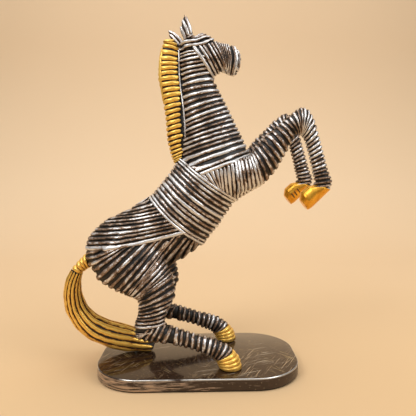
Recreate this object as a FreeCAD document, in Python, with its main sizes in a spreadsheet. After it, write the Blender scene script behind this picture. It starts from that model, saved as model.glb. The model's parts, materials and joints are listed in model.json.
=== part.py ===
import FreeCAD, Part
import Sketcher
import math
import os
from collections import namedtuple

# A rearing horse ornament: castings pinned and wired together on an oblong base.
# +X is the way the horse faces, +Y is its left, +Z is up.
# The origin is the middle of the underside of the felt that the base stands on.

Vector = FreeCAD.Vector

# Driving sizes, in millimetres and degrees
SIZES = (
    ("base_length", 160, "base from end to end"),
    ("base_width", 96, "base from side to side"),
    ("base_corner_radius", 37, "radius of the base's rounded corners"),
    ("base_thickness", 9, "thickness of the slab"),
    ("base_edge_chamfer", 0.8, "worn edge round the top of the slab"),
    ("felt_thickness", 1, "felt under the slab"),
    ("felt_inset", 1.5, "felt inside the slab's edge"),
    ("screw_radius", 1.5, "shank of the base screws"),
    ("screw_head_radius", 3, "head of the base screws"),
    ("screw_head_height", 2, "height of the screw head"),
    ("screw_grip", 6, "how far a screw stands in the casting above the slab"),
    ("screw_recess", 3.5, "depth of the recess for a screw head"),
    ("pin_clearance", 0.25, "room round every screw, dowel and wire"),
    ("seat_clearance", 0.3, "room where one casting is saddled on another"),
    ("saw_overrun", 2, "how far a cutting tool runs past the casting"),
    ("wire_radius", 1, "leg and tail wires"),
    ("trunk_dowel_radius", 3, "dowels between the trunk castings"),
    ("trunk_dowel_length", 20, "length of a trunk dowel"),
    ("neck_dowel_radius", 3, "dowel between chest and neck"),
    ("neck_dowel_length", 24, "length of the neck dowel"),
    ("neck_dowel_forward", 9, "neck dowel ahead of the middle of the neck's seat"),
    ("head_dowel_radius", 2, "dowel between neck and head"),
    ("head_dowel_length", 16, "length of the head dowel"),
    ("hind_hoof_forward", 25.2, "hind hooves ahead of the middle of the base"),
    ("hind_hoof_spread", 30, "each hind hoof from the middle plane"),
    ("hind_hoof_height", 11.4, "ground to coronet"),
    ("hind_hoof_lean", 5.3, "coronet behind the middle of the sole"),
    ("hind_sole_depth", 9.1, "half the length of the sole"),
    ("hind_sole_half_width", 9.3, "half the width of the sole"),
    ("coronet_depth", 7.8, "half the coronet from front to back"),
    ("coronet_half_width", 7.6, "half the coronet from side to side"),
    ("coronet_tilt", 40, "slope of the coronet"),
    ("shank_length", 60.5, "coronet to hock"),
    ("shank_angle", 159, "slope of the shank, coronet to hock"),
    ("hock_depth", 12.4, "half the hock from front to back"),
    ("hock_half_width", 8.5, "half the hock from side to side"),
    ("hock_tilt", 12, "slope of the seam at the hock"),
    ("hock_spread", 29, "each hock from the middle plane"),
    ("gaskin_length", 23.7, "hock to stifle"),
    ("gaskin_angle", 75.6, "slope of the gaskin, hock to stifle"),
    ("stifle_depth", 15.2, "half the stifle from front to back"),
    ("stifle_half_width", 11, "half the stifle from side to side"),
    ("stifle_tilt", 8, "slope of the seam at the stifle"),
    ("stifle_spread", 26, "each stifle from the middle plane"),
    ("thigh_length", 55, "stifle to hip"),
    ("thigh_angle", 133.2, "slope of the thigh, stifle to hip"),
    ("hip_depth", 21.7, "half the thigh at the hip"),
    ("hip_half_width", 12, "half the thigh's width at the hip"),
    ("hip_tilt", 46, "slope of the thigh's first section"),
    ("hip_spread", 15, "each hip from the middle plane"),
    ("dock_back", 20, "tail root behind the hips"),
    ("dock_drop", 15.6, "tail root below the hips"),
    ("dock_depth", 6, "half the tail root, top to bottom"),
    ("dock_half_width", 6, "half the tail root, side to side"),
    ("dock_tilt", 100, "slope of the seam at the tail root"),
    ("rump_length", 78.8, "tail root to the rear of the girth band"),
    ("rump_angle", 23, "slope of the rump"),
    ("loin_depth", 29, "half the trunk at the rear of the girth band"),
    ("loin_half_width", 24, "half the trunk's width at the rear of the girth band"),
    ("loin_tilt", 137, "slope of the seam behind the girth band"),
    ("barrel_length", 38.3, "length of the girth band"),
    ("barrel_angle", 52.7, "slope of the girth band"),
    ("girth_depth", 28.2, "half the trunk at the front of the girth band"),
    ("girth_half_width", 25, "half the trunk's width at the front of the girth band"),
    ("girth_tilt", 145, "slope of the seam before the girth band"),
    ("chest_length", 46.8, "girth band to breast"),
    ("chest_angle", 33.4, "slope of the chest"),
    ("breast_depth", 10, "half the breast's end, top to bottom"),
    ("breast_half_width", 11, "half the breast's end, side to side"),
    ("breast_tilt", 130, "slope of the breast"),
    ("neck_seat_forward", 10.1, "neck seat ahead of the girth band's front"),
    ("neck_seat_rise", 15.2, "neck seat above the girth band's front"),
    ("neck_seat_depth", 27.6, "half the neck's foot, front to back"),
    ("neck_seat_half_width", 22, "half the neck's foot, side to side"),
    ("neck_seat_tilt", 6, "slope of the neck's seat"),
    ("neck_length", 75.6, "neck seat to poll"),
    ("neck_angle", 103, "slope of the neck"),
    ("poll_depth", 15, "half the neck's top, front to back"),
    ("poll_half_width", 9.5, "half the neck's top, side to side"),
    ("poll_tilt", -26, "slope of the seam between neck and head"),
    ("head_length", 22, "poll seam to muzzle seam"),
    ("head_angle", 25.3, "slope of the head"),
    ("muzzle_depth", 12.4, "half the muzzle's root, top to bottom"),
    ("muzzle_half_width", 8, "half the muzzle's root, side to side"),
    ("muzzle_tilt", -76, "slope of the seam at the muzzle"),
    ("muzzle_length", 16.3, "muzzle seam to lips"),
    ("muzzle_angle", -13.9, "slope of the muzzle"),
    ("lip_depth", 4, "half the lips, top to bottom"),
    ("lip_half_width", 3.5, "half the lips, side to side"),
    ("lip_tilt", -98, "slope of the lips"),
    ("ear_spread", 7.5, "each ear from the middle plane"),
    ("ear_splay", 2, "how far an ear's tip stands out past its root"),
    ("ear_half_thickness", 3, "half an ear's thickness, side to side"),
    ("ear_half_breadth", 5.4, "half an ear's breadth, front to back"),
    ("ear_tip_radius", 0.6, "rounded tip of an ear"),
    ("right_ear_length", 27.5, "right ear with its root in the head"),
    ("right_ear_angle", 98, "slope of the right ear"),
    ("left_ear_length", 28, "left ear with its root in the head"),
    ("left_ear_angle", 131, "slope of the left ear"),
    ("mane_depth", 8.9, "half the crest at its fullest, front to back"),
    ("mane_half_width", 6.5, "half the crest at its fullest, side to side"),
    ("mane_foot_back", 30.5, "foot of the crest behind the middle of the neck's seat"),
    ("mane_foot_rise", -1, "foot of the crest above the neck's seat"),
    ("mane_foot_depth", 4, "half the crest's foot, front to back"),
    ("mane_foot_half_width", 4, "half the crest's foot, side to side"),
    ("mane_foot_tilt", 32, "slope of the crest's foot"),
    ("mane_top_back", 19.4, "top of the crest behind the poll seam"),
    ("mane_top_rise", 23, "top of the crest above the poll seam"),
    ("mane_top_depth", 6.3, "half the crest's top, front to back"),
    ("mane_top_half_width", 4, "half the crest's top, side to side"),
    ("mane_top_tilt", -4, "slope of the crest's top"),
    ("binding_length", 12.8, "tail root to the last gold turn"),
    ("binding_angle", 224, "slope of the binding"),
    ("binding_depth", 4.8, "half the tail at the end of the binding"),
    ("binding_half_width", 5, "half the tail's width at the end of the binding"),
    ("binding_tilt", 145, "slope of the binding's last turn"),
    ("tail_foot_back", 36, "tip of the tail behind the middle of the base"),
    ("tail_foot_side", 8, "tip of the tail to the left of the middle plane"),
    ("tail_tip_rise", 3.5, "middle of the tail's tip above the base"),
    ("tail_tip_depth", 3.6, "half the tail's tip, top to bottom"),
    ("tail_tip_half_width", 7, "half the tail's tip, side to side"),
    ("tail_tip_tilt", 250, "slope of the tail's tip"),
    ("tail_depth", 11.5, "half the tail at its fullest, top to bottom"),
    ("tail_half_width", 12, "half the tail at its fullest, side to side"),
    ("tail_screw_back", 52, "tail screw behind the middle of the base"),
    ("tail_screw_side", 5, "tail screw to the left of the middle plane"),
    ("shoulder_forward", 23, "forearm root ahead of the girth band's front"),
    ("shoulder_rise", 2.4, "forearm root above the girth band's front"),
    ("shoulder_spread", 17, "each forearm root from the middle plane"),
    ("shoulder_depth", 12.3, "half the forearm's root, top to bottom"),
    ("shoulder_half_width", 11, "half the forearm's root, side to side"),
    ("shoulder_tilt", 97, "slope of the forearm's first section"),
    ("knee_spread", 22, "each knee from the middle plane"),
    ("knee_depth", 7.6, "half the forearm above the knee"),
    ("knee_half_width", 7, "half the forearm's width above the knee"),
    ("knee_tilt", 117, "slope of the seam above the knee"),
    ("right_forearm_length", 58.4, "right forearm, root to knee seam"),
    ("right_forearm_angle", 43.8, "slope of the right forearm"),
    ("left_forearm_length", 56.4, "left forearm, root to knee seam"),
    ("left_forearm_angle", 47.8, "slope of the left forearm"),
    ("cannon_length", 52.6, "knee seam to fetlock"),
    ("right_cannon_angle", -63.2, "slope of the right fore cannon"),
    ("left_cannon_angle", -62.8, "slope of the left fore cannon"),
    ("fetlock_depth", 6.4, "half the pastern, front to back"),
    ("fetlock_half_width", 6, "half the pastern, side to side"),
    ("fetlock_tilt", -16, "slope of the seam at the pastern"),
    ("fore_hoof_length", 19.8, "pastern seam to the sole"),
    ("fore_hoof_angle", 223, "slope of the fore hooves"),
    ("fore_sole_depth", 5, "half the length of the fore sole"),
    ("fore_sole_half_width", 5.6, "half the width of the fore sole"),
    ("fore_sole_tilt", -52, "slope of the fore sole"),
    ("groove_width", 1.6, "grooves where the main cords part"),
    ("neck_groove_depth", 1, "depth of the grooves round the neck"),
    ("neck_groove_foot_tilt", 20, "slope of the neck's lowest groove"),
    ("neck_groove_top_tilt", 8, "slope of the neck's highest groove"),
    ("croup_groove_depth", 1.4, "depth of the grooves over the croup"),
    ("croup_groove_tilt", 9, "slope of the grooves over the croup"),
)

document = FreeCAD.newDocument("RearingHorse")
sheet = document.addObject("Spreadsheet::Sheet", "Sizes")
for row, (alias, value, meaning) in enumerate(SIZES, 1):
    sheet.set("A%d" % row, meaning)
    sheet.set("B%d" % row, str(value))
    sheet.setAlias("B%d" % row, alias)
document.recompute()


def size(alias):
    """The value of a named size."""
    return float(sheet.get(alias))


# Side-view geometry

# A seam is the oval where one casting meets the next: its middle, its two half sizes and its slope.
Seam = namedtuple("Seam", "centre depth width tilt")


def heading(angle):
    """A unit direction in the side view, from an angle above straight ahead."""
    turn = math.radians(angle)
    return Vector(math.cos(turn), 0, math.sin(turn))


def seam(centre, name, side_offset=0):
    """A seam at a place, with the half sizes and the slope that its name has in the sheet."""
    place = Vector(centre.x, side_offset, centre.z)
    return Seam(place, size(name + "_depth"), size(name + "_half_width"), size(name + "_tilt"))


def ribs(start, finish, shares, fullest=None):
    """Seams along a casting. A row has the share along, the share across and the shares of the
    fullest depth and width, and how far the slope has turned from the first end's.
    The fullest sizes are the larger end's, unless the casting has its own."""
    run = finish.centre - start.centre
    flat_run = Vector(run.x, 0, run.z)
    across = Vector(-run.z, 0, run.x)
    if fullest:
        depth = size(fullest + "_depth")
        width = size(fullest + "_half_width")
    else:
        depth = max(start.depth, finish.depth)
        width = max(start.width, finish.width)
    sections = [start]
    for along_share, across_share, depth_share, width_share, turn_share in shares:
        centre = start.centre + flat_run * along_share + across * across_share
        centre.y = start.centre.y + run.y * min(max(along_share, 0), 1)
        tilt = start.tilt + (finish.tilt - start.tilt) * turn_share
        sections.append(Seam(centre, depth * depth_share, width * width_share, tilt))
    sections.append(finish)
    return sections


def oval(section, swell=0):
    """The closed oval wire of one section, larger all round by a swell."""
    forward = heading(section.tilt) * (section.depth + swell)
    sideways = Vector(0, section.width + swell, 0)
    normal = forward.cross(sideways).normalize()
    place = section.centre
    matrix = FreeCAD.Matrix(
        forward.x, sideways.x, normal.x, place.x,
        forward.y, sideways.y, normal.y, place.y,
        forward.z, sideways.z, normal.z, place.z,
        0, 0, 0, 1)
    return Part.Wire([Part.makeCircle(1).transformGeometry(matrix).Edges[0]])


def loft(sections, swell=0):
    """A solid through the ovals of a row of sections."""
    return Part.makeLoft([oval(section, swell) for section in sections], True, True)


# The pose of the horse, worked out from its hooves upwards

base_top = size("felt_thickness") + size("base_thickness")
right, left = -1, 1
SIDES = (("right", right), ("left", left))


def hind_leg(side):
    """The seams of one hind leg, from the sole up to the hip."""
    ground = Vector(size("hind_hoof_forward"), 0, base_top)
    crown = ground + Vector(-size("hind_hoof_lean"), 0, size("hind_hoof_height"))
    hock = crown + heading(size("shank_angle")) * size("shank_length")
    stifle = hock + heading(size("gaskin_angle")) * size("gaskin_length")
    hip = stifle + heading(size("thigh_angle")) * size("thigh_length")
    hoof_side = side * size("hind_hoof_spread")
    sole = Seam(Vector(ground.x, hoof_side, ground.z),
                size("hind_sole_depth"), size("hind_sole_half_width"), 0)
    return {
        "sole": sole,
        "coronet": seam(crown, "coronet", hoof_side),
        "hock": seam(hock, "hock", side * size("hock_spread")),
        "stifle": seam(stifle, "stifle", side * size("stifle_spread")),
        "hip": seam(hip, "hip", side * size("hip_spread")),
    }


hip_point = hind_leg(right)["hip"].centre
dock_point = Vector(hip_point.x - size("dock_back"), 0, hip_point.z - size("dock_drop"))
loin_point = dock_point + heading(size("rump_angle")) * size("rump_length")
girth_point = loin_point + heading(size("barrel_angle")) * size("barrel_length")
breast_point = girth_point + heading(size("chest_angle")) * size("chest_length")
neck_seat_point = girth_point + Vector(size("neck_seat_forward"), 0, size("neck_seat_rise"))
poll_point = neck_seat_point + heading(size("neck_angle")) * size("neck_length")
muzzle_point = poll_point + heading(size("head_angle")) * size("head_length")
lip_point = muzzle_point + heading(size("muzzle_angle")) * size("muzzle_length")

dock = seam(dock_point, "dock")
loin = seam(loin_point, "loin")
girth = seam(girth_point, "girth")
breast = seam(breast_point, "breast")
neck_seat = seam(neck_seat_point, "neck_seat")
poll = seam(poll_point, "poll")
muzzle_root = seam(muzzle_point, "muzzle")
lips = seam(lip_point, "lip")

# Rows of shares: along, across, depth, width, turn
RUMP_SHARES = (
    (0.04, 0.03, 0.46, 0.52, 0.00),
    (0.12, -0.01, 0.74, 0.80, 0.00),
    (0.28, -0.02, 0.90, 1.00, 0.00),
    (0.55, -0.05, 0.97, 1.08, 0.16),
    (0.80, -0.04, 0.99, 1.04, 0.60),
)
BARREL_SHARES = (
    (0.50, -0.02, 0.99, 1.05, 0.60),
)
CHEST_SHARES = (
    (0.34, 0.00, 0.99, 1.04, 0.27),
    (0.67, -0.05, 0.92, 1.00, 0.67),
    (0.88, -0.04, 0.73, 0.80, 1.00),
)
NECK_SHARES = (
    (0.19, 0.00, 0.92, 0.86, 0.05),
    (0.37, 0.00, 0.82, 0.73, 0.15),
    (0.57, 0.00, 0.70, 0.60, 0.19),
    (0.74, 0.00, 0.57, 0.50, 0.20),
    (0.87, 0.00, 0.50, 0.44, 0.30),
)
HEAD_SHARES = (
    (0.19, 0.22, 1.18, 1.10, 0.44),
    (0.39, 0.28, 1.18, 1.20, 0.72),
    (0.68, 0.29, 1.17, 1.20, 0.90),
    (0.90, 0.14, 0.95, 1.00, 1.00),
)
MUZZLE_SHARES = (
    (0.33, -0.02, 1.04, 0.94, 0.42),
    (0.62, -0.02, 1.00, 0.96, 0.65),
    (0.88, 0.00, 0.75, 0.76, 0.78),
)
THIGH_SHARES = (
    (0.32, -0.03, 1.16, 1.15, 0.20),
    (0.62, 0.01, 1.04, 1.08, 0.32),
    (0.85, 0.03, 0.88, 0.98, 0.60),
)
GASKIN_SHARES = (
    (0.16, 0.03, 0.93, 0.95, 0.00),
    (0.50, 0.01, 0.79, 0.85, 0.00),
    (0.82, -0.02, 0.77, 0.78, 0.00),
)
SHANK_SHARES = (
    (0.05, -0.05, 1.00, 1.00, 0.50),
    (0.13, -0.04, 0.85, 0.92, 0.95),
    (0.28, -0.01, 0.66, 0.78, 1.45),
    (0.46, 0.01, 0.56, 0.72, 1.75),
    (0.63, 0.02, 0.53, 0.70, 1.95),
    (0.78, 0.03, 0.62, 0.80, 1.75),
    (0.90, 0.03, 0.61, 0.84, 1.35),
)
HIND_HOOF_SHARES = (
    (0.50, 0.10, 0.98, 0.97, 0.45),
)
FOREARM_SHARES = (
    (0.17, -0.06, 1.08, 1.02, 0.00),
    (0.34, -0.09, 1.18, 1.04, 0.50),
    (0.54, -0.07, 1.12, 0.94, 0.80),
    (0.78, -0.04, 0.84, 0.76, 1.00),
)
CANNON_SHARES = (
    (-0.01, 0.13, 1.36, 1.18, 0.24),
    (0.04, 0.18, 1.32, 1.14, 0.35),
    (0.15, 0.19, 1.05, 0.96, 0.49),
    (0.31, 0.17, 0.80, 0.82, 0.72),
    (0.56, 0.12, 0.82, 0.80, 0.83),
    (0.77, 0.07, 0.86, 0.84, 0.86),
    (0.92, 0.05, 0.96, 0.98, 0.90),
)
FORE_HOOF_SHARES = (
    (0.36, -0.07, 1.10, 1.10, 0.70),
    (0.80, -0.07, 1.12, 1.15, 1.05),
)
BINDING_SHARES = (
    (0.50, 0.03, 0.92, 0.95, 0.50),
)
TAIL_SHARES = (
    (0.04, -0.09, 0.54, 0.50, 0.26),
    (0.12, -0.18, 0.65, 0.62, 0.36),
    (0.25, -0.26, 0.79, 0.76, 0.43),
    (0.39, -0.28, 0.88, 0.88, 0.60),
    (0.54, -0.25, 0.98, 0.98, 0.73),
    (0.68, -0.18, 1.00, 1.00, 0.86),
    (0.80, -0.11, 0.92, 0.96, 0.94),
    (0.90, -0.05, 0.62, 0.80, 0.97),
)
MANE_SHARES = (
    (0.08, 0.00, 0.80, 0.80, 0.30),
    (0.20, 0.01, 0.94, 0.95, 0.85),
    (0.36, 0.01, 0.92, 1.00, 0.95),
    (0.51, 0.02, 0.94, 1.00, 1.00),
    (0.69, 0.04, 1.00, 1.00, 1.00),
    (0.83, 0.03, 0.94, 0.92, 1.00),
)
# Rows for an ear: share along, share of its breadth, share of its thickness
EAR_SHARES = (
    (0.00, 0.80, 0.80),
    (0.35, 0.90, 0.92),
    (0.60, 1.05, 1.00),
    (0.85, 0.60, 0.62),
)
EAR_ROOT_SHARE = 0.55
# Grooves: shares of the way up the neck, and of the way from the middle of the rump to its top
NECK_GROOVE_SHARES = (0.07, 0.19, 0.31, 0.43, 0.55, 0.67, 0.79, 0.91)
CROUP_GROOVE_SHARES = (0.00, 0.28, 0.56, 0.84)

hindquarters_ribs = ribs(dock, loin, RUMP_SHARES)
barrel_ribs = ribs(loin, girth, BARREL_SHARES)
chest_ribs = ribs(girth, breast, CHEST_SHARES)
neck_ribs = ribs(neck_seat, poll, NECK_SHARES)
head_ribs = ribs(poll, muzzle_root, HEAD_SHARES)
muzzle_ribs = ribs(muzzle_root, lips, MUZZLE_SHARES)


def fore_leg(side, side_name):
    """The seams of one foreleg, from the shoulder down to the sole."""
    shoulder = girth_point + Vector(size("shoulder_forward"), 0, size("shoulder_rise"))
    forearm = heading(size(side_name + "_forearm_angle")) * size(side_name + "_forearm_length")
    knee = shoulder + forearm
    fetlock = knee + heading(size(side_name + "_cannon_angle")) * size("cannon_length")
    sole = fetlock + heading(size("fore_hoof_angle")) * size("fore_hoof_length")
    knee_side = side * size("knee_spread")
    return {
        "shoulder": seam(shoulder, "shoulder", side * size("shoulder_spread")),
        "knee": seam(knee, "knee", knee_side),
        "fetlock": seam(fetlock, "fetlock", knee_side),
        "sole": seam(sole, "fore_sole", knee_side),
    }


# The tail leaves the dock, passes through its binding and comes down to the base
binding_point = dock_point + heading(size("binding_angle")) * size("binding_length")
binding_end = seam(binding_point, "binding")
tail_tip_place = Vector(-size("tail_foot_back"), 0, base_top + size("tail_tip_rise"))
tail_tip = seam(tail_tip_place, "tail_tip", size("tail_foot_side"))
binding_ribs = ribs(dock, binding_end, BINDING_SHARES)
tail_ribs = ribs(binding_end, tail_tip, TAIL_SHARES, "tail")

# The crest stands along the back of the neck
mane_foot_place = neck_seat_point + Vector(-size("mane_foot_back"), 0, size("mane_foot_rise"))
mane_top_place = poll_point + Vector(-size("mane_top_back"), 0, size("mane_top_rise"))
mane_foot = seam(mane_foot_place, "mane_foot")
mane_top = seam(mane_top_place, "mane_top")
mane_ribs = ribs(mane_foot, mane_top, MANE_SHARES, "mane")

# Sub-parts are kept with the names that their files get
sub_parts = []


def keep(item, label):
    """Names a finished sub-part."""
    item.Label = label
    sub_parts.append(item)


def casting(label, solid, tools):
    """A casting, less the holes and seats that other pieces need in it."""
    item = document.addObject("Part::Feature", label + "_casting")
    item.Shape = solid.cut(tools) if tools else solid
    item.Placement = FreeCAD.Placement()
    keep(item, label)


# Base slab and felt: sketched oblongs with rounded ends, padded


def origin_plane(body, role):
    """One of a body's own origin planes."""
    return next(plane for plane in body.Origin.OriginFeatures if plane.Role == role)


def new_sketch(body, name, lift=None):
    """A sketch on the body's ground plane, raised by a named size."""
    sketch = body.newObject("Sketcher::SketchObject", name)
    sketch.AttachmentSupport = (origin_plane(body, "XY_Plane"), "")
    sketch.MapMode = "FlatFace"
    if lift:
        sketch.setExpression(".AttachmentOffset.Base.z", lift)
    return sketch


def oblong(sketch, length, width, radius):
    """A rounded rectangle about the origin, held by constraints with three expressions."""
    half_length = size("base_length") / 2
    half_width = size("base_width") / 2
    corner = size("base_corner_radius")
    flat_x = half_length - corner
    flat_y = half_width - corner
    corners = ((flat_x, flat_y), (-flat_x, flat_y), (-flat_x, -flat_y), (flat_x, -flat_y))
    quarter = math.pi / 2
    bends = []
    for place, (corner_x, corner_y) in enumerate(corners):
        circle = Part.Circle(Vector(corner_x, corner_y, 0), Vector(0, 0, 1), corner)
        arc = Part.ArcOfCircle(circle, place * quarter, (place + 1) * quarter)
        bends.append(sketch.addGeometry(arc))
    flats = (
        (flat_x, half_width, -flat_x, half_width),
        (-half_length, flat_y, -half_length, -flat_y),
        (-flat_x, -half_width, flat_x, -half_width),
        (half_length, -flat_y, half_length, flat_y),
    )
    runs = []
    for from_x, from_y, to_x, to_y in flats:
        line = Part.LineSegment(Vector(from_x, from_y, 0), Vector(to_x, to_y, 0))
        runs.append(sketch.addGeometry(line))
    back, left_flat, front, right_flat = runs
    start, end, middle = range(1, 4)
    for bend, run, next_bend in zip(bends, runs, bends[1:] + bends[:1]):
        sketch.addConstraint(Sketcher.Constraint("Tangent", bend, end, run, start))
        sketch.addConstraint(Sketcher.Constraint("Tangent", run, end, next_bend, start))
    for bend in bends[1:]:
        sketch.addConstraint(Sketcher.Constraint("Equal", bends[0], bend))
    for run in (back, front):
        sketch.addConstraint(Sketcher.Constraint("Horizontal", run))
    for run in (left_flat, right_flat):
        sketch.addConstraint(Sketcher.Constraint("Vertical", run))
    sketch.addConstraint(
        Sketcher.Constraint("Symmetric", bends[0], middle, bends[2], middle, -1, start))
    measures = (
        ("Corner", radius, Sketcher.Constraint("Radius", bends[0], corner)),
        ("Length", length,
         Sketcher.Constraint("DistanceX", left_flat, start, right_flat, start, 2 * half_length)),
        ("Width", width,
         Sketcher.Constraint("DistanceY", front, start, back, start, 2 * half_width)),
    )
    for name, expression, constraint in measures:
        number = sketch.addConstraint(constraint)
        sketch.renameConstraint(number, name)
        sketch.setExpression("Constraints." + name, expression)


# The screws: name, forward of the middle, left of the middle
SCREWS = (
    ("right_hoof", size("hind_hoof_forward"), -size("hind_hoof_spread"),
     "Sizes.hind_hoof_forward", "-Sizes.hind_hoof_spread"),
    ("left_hoof", size("hind_hoof_forward"), size("hind_hoof_spread"),
     "Sizes.hind_hoof_forward", "Sizes.hind_hoof_spread"),
    ("tail", -size("tail_screw_back"), size("tail_screw_side"),
     "-Sizes.tail_screw_back", "Sizes.tail_screw_side"),
)


def screw_circles(sketch, radius):
    """A circle for each screw, placed and sized by expressions."""
    origin, centre = (-1, 1), 3
    for name, forward, sideways, forward_size, sideways_size in SCREWS:
        circle = Part.Circle(Vector(forward, sideways, 0), Vector(0, 0, 1), size("screw_radius"))
        number = sketch.addGeometry(circle)
        places = (
            ("DistanceX", forward, forward_size),
            ("DistanceY", sideways, sideways_size),
        )
        for kind, place, place_size in places:
            if place > 0:
                held = Sketcher.Constraint(kind, *origin, number, centre, place)
            else:
                held = Sketcher.Constraint(kind, number, centre, *origin, -place)
                place_size = "-(" + place_size + ")"
            constraint = sketch.addConstraint(held)
            sketch.setExpression("Constraints[%d]" % constraint, place_size)
        constraint = sketch.addConstraint(Sketcher.Constraint("Radius", number, size("screw_radius")))
        sketch.setExpression("Constraints[%d]" % constraint, radius)


def screw_pocket(body, name, radius, depth=None):
    """Round holes for the screws, cut upwards from the underside of the slab."""
    sketch = new_sketch(body, name + "_circles", "Sizes.felt_thickness")
    screw_circles(sketch, radius)
    before = body.Tip.Shape.Volume
    pocket = body.newObject("PartDesign::Pocket", name)
    pocket.Profile = sketch
    pocket.Reversed = True
    if depth:
        pocket.setExpression("Length", depth)
    else:
        pocket.Type = "ThroughAll"
    document.recompute()
    assert pocket.Shape.Volume < before, name + " cuts nothing"


slab = document.addObject("PartDesign::Body", "slab_body")
slab_outline = new_sketch(slab, "slab_outline", "Sizes.felt_thickness")
oblong(slab_outline, "Sizes.base_length", "Sizes.base_width", "Sizes.base_corner_radius")
slab_pad = slab.newObject("PartDesign::Pad", "slab_pad")
slab_pad.Profile = slab_outline
slab_pad.setExpression("Length", "Sizes.base_thickness")
document.recompute()
top_edges = ["Edge%d" % number for number, edge in enumerate(slab_pad.Shape.Edges, 1)
             if min(vertex.Z for vertex in edge.Vertexes) > base_top - size("base_edge_chamfer")]
slab_edge = slab.newObject("PartDesign::Chamfer", "slab_worn_edge")
slab_edge.Base = (slab_pad, top_edges)
slab_edge.setExpression("Size", "Sizes.base_edge_chamfer")
document.recompute()
screw_pocket(slab, "screw_holes", "Sizes.screw_radius + Sizes.pin_clearance")
screw_pocket(slab, "screw_head_recesses", "Sizes.screw_head_radius + Sizes.pin_clearance",
             "Sizes.screw_recess")
keep(slab, "base_slab")

felt = document.addObject("PartDesign::Body", "felt_body")
felt_outline = new_sketch(felt, "felt_outline")
oblong(felt_outline, "Sizes.base_length - 2 * Sizes.felt_inset",
       "Sizes.base_width - 2 * Sizes.felt_inset", "Sizes.base_corner_radius - Sizes.felt_inset")
felt_pad = felt.newObject("PartDesign::Pad", "felt_pad")
felt_pad.Profile = felt_outline
felt_pad.setExpression("Length", "Sizes.felt_thickness")
keep(felt, "base_felt")

# Base screws: each a shank and a flat head, driven up through the slab

screw_bores = {}
screw_solids = []
for name, forward, sideways, forward_size, sideways_size in SCREWS:
    head = document.addObject("Part::Cylinder", name + "_screw_head")
    head.setExpression("Radius", "Sizes.screw_head_radius")
    head.setExpression("Height", "Sizes.screw_head_height")
    head.setExpression(".Placement.Base.z",
                       "Sizes.felt_thickness + Sizes.screw_recess - Sizes.screw_head_height")
    shank = document.addObject("Part::Cylinder", name + "_screw_shank")
    shank.setExpression("Radius", "Sizes.screw_radius")
    shank.setExpression("Height", "Sizes.base_thickness - Sizes.screw_recess + Sizes.screw_grip")
    shank.setExpression(".Placement.Base.z", "Sizes.felt_thickness + Sizes.screw_recess")
    for item in (head, shank):
        item.setExpression(".Placement.Base.x", forward_size)
        item.setExpression(".Placement.Base.y", sideways_size)
    screw = document.addObject("Part::Fuse", name + "_screw")
    screw.Base = head
    screw.Tool = shank
    screw_solids.append(screw)
    foot = Vector(forward, sideways, base_top - size("saw_overrun"))
    depth = size("saw_overrun") + size("screw_grip") + size("pin_clearance")
    bore_radius = size("screw_radius") + size("pin_clearance")
    screw_bores[name] = Part.makeCylinder(bore_radius, depth, foot)
screws = document.addObject("Part::Compound", "screw_group")
screws.Links = screw_solids
keep(screws, "base_screws")

# Dowels: straight pegs square through the middle of a seam, half on each side


def dowel_axis(section, name, room):
    """The foot, the direction and the length of a dowel or of its hole."""
    axis = heading(section.tilt - 90)
    length = size(name + "_length") + 2 * room
    return section.centre - axis * (length / 2), axis, length


def dowel(section, name, label):
    """A dowel whose radius and length are bound to the sheet."""
    foot, axis, length = dowel_axis(section, name, 0)
    peg = document.addObject("Part::Cylinder", label + "_peg")
    peg.setExpression("Radius", "Sizes." + name + "_radius")
    peg.setExpression("Height", "Sizes." + name + "_length")
    peg.Placement = FreeCAD.Placement(foot, FreeCAD.Rotation(Vector(0, 0, 1), axis))
    return peg


def dowel_bore(section, name):
    """The hole for a dowel, with room all round it."""
    room = size("pin_clearance")
    foot, axis, length = dowel_axis(section, name, room)
    return Part.makeCylinder(size(name + "_radius") + room, length, foot, axis)


trunk_dowels = document.addObject("Part::Compound", "trunk_dowel_pair")
trunk_dowels.Links = [dowel(loin, "trunk_dowel", "loin"), dowel(girth, "trunk_dowel", "girth")]
keep(trunk_dowels, "trunk_dowels")
neck_peg_place = neck_seat.centre + heading(neck_seat.tilt) * size("neck_dowel_forward")
neck_peg_seat = neck_seat._replace(centre=neck_peg_place)
keep(dowel(neck_peg_seat, "neck_dowel", "neck"), "neck_dowel")
keep(dowel(poll, "head_dowel", "head"), "head_dowel")
loin_bore = dowel_bore(loin, "trunk_dowel")
girth_bore = dowel_bore(girth, "trunk_dowel")
neck_bore = dowel_bore(neck_peg_seat, "neck_dowel")
head_bore = dowel_bore(poll, "head_dowel")

# Wires: bent round bars along the middles of the limbs

HOOF_WIRE_SHARE = 0.25
FORE_HOOF_WIRE_SHARE = 0.40
TAIL_WIRE_ROOT_SHARE = 0.18


def part_way(start, finish, share):
    """A point between two seams."""
    return start.centre + (finish.centre - start.centre) * share


def bar(points, radius):
    """A round bar through a row of points, with a ball at each of them."""
    pieces = [Part.makeSphere(radius, point) for point in points]
    for start, finish in zip(points, points[1:]):
        run = finish - start
        pieces.append(Part.makeCylinder(radius, run.Length, start, run))
    return pieces[0].fuse(pieces[1:])


def wire(label, points):
    """A wire through a row of points. Its hole is returned."""
    item = document.addObject("Part::Feature", label + "_bar")
    item.Shape = bar(points, size("wire_radius"))
    item.Placement = FreeCAD.Placement()
    keep(item, label)
    return bar(points, size("wire_radius") + size("pin_clearance"))


# Trunk, neck and head

neck_envelope = loft(neck_ribs, size("seat_clearance"))
chest_envelope = loft(chest_ribs, size("seat_clearance"))
rump_envelope = loft(hindquarters_ribs, size("seat_clearance"))
barrel_envelope = loft(barrel_ribs, size("seat_clearance"))
head_envelope = loft(head_ribs, size("seat_clearance"))


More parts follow.
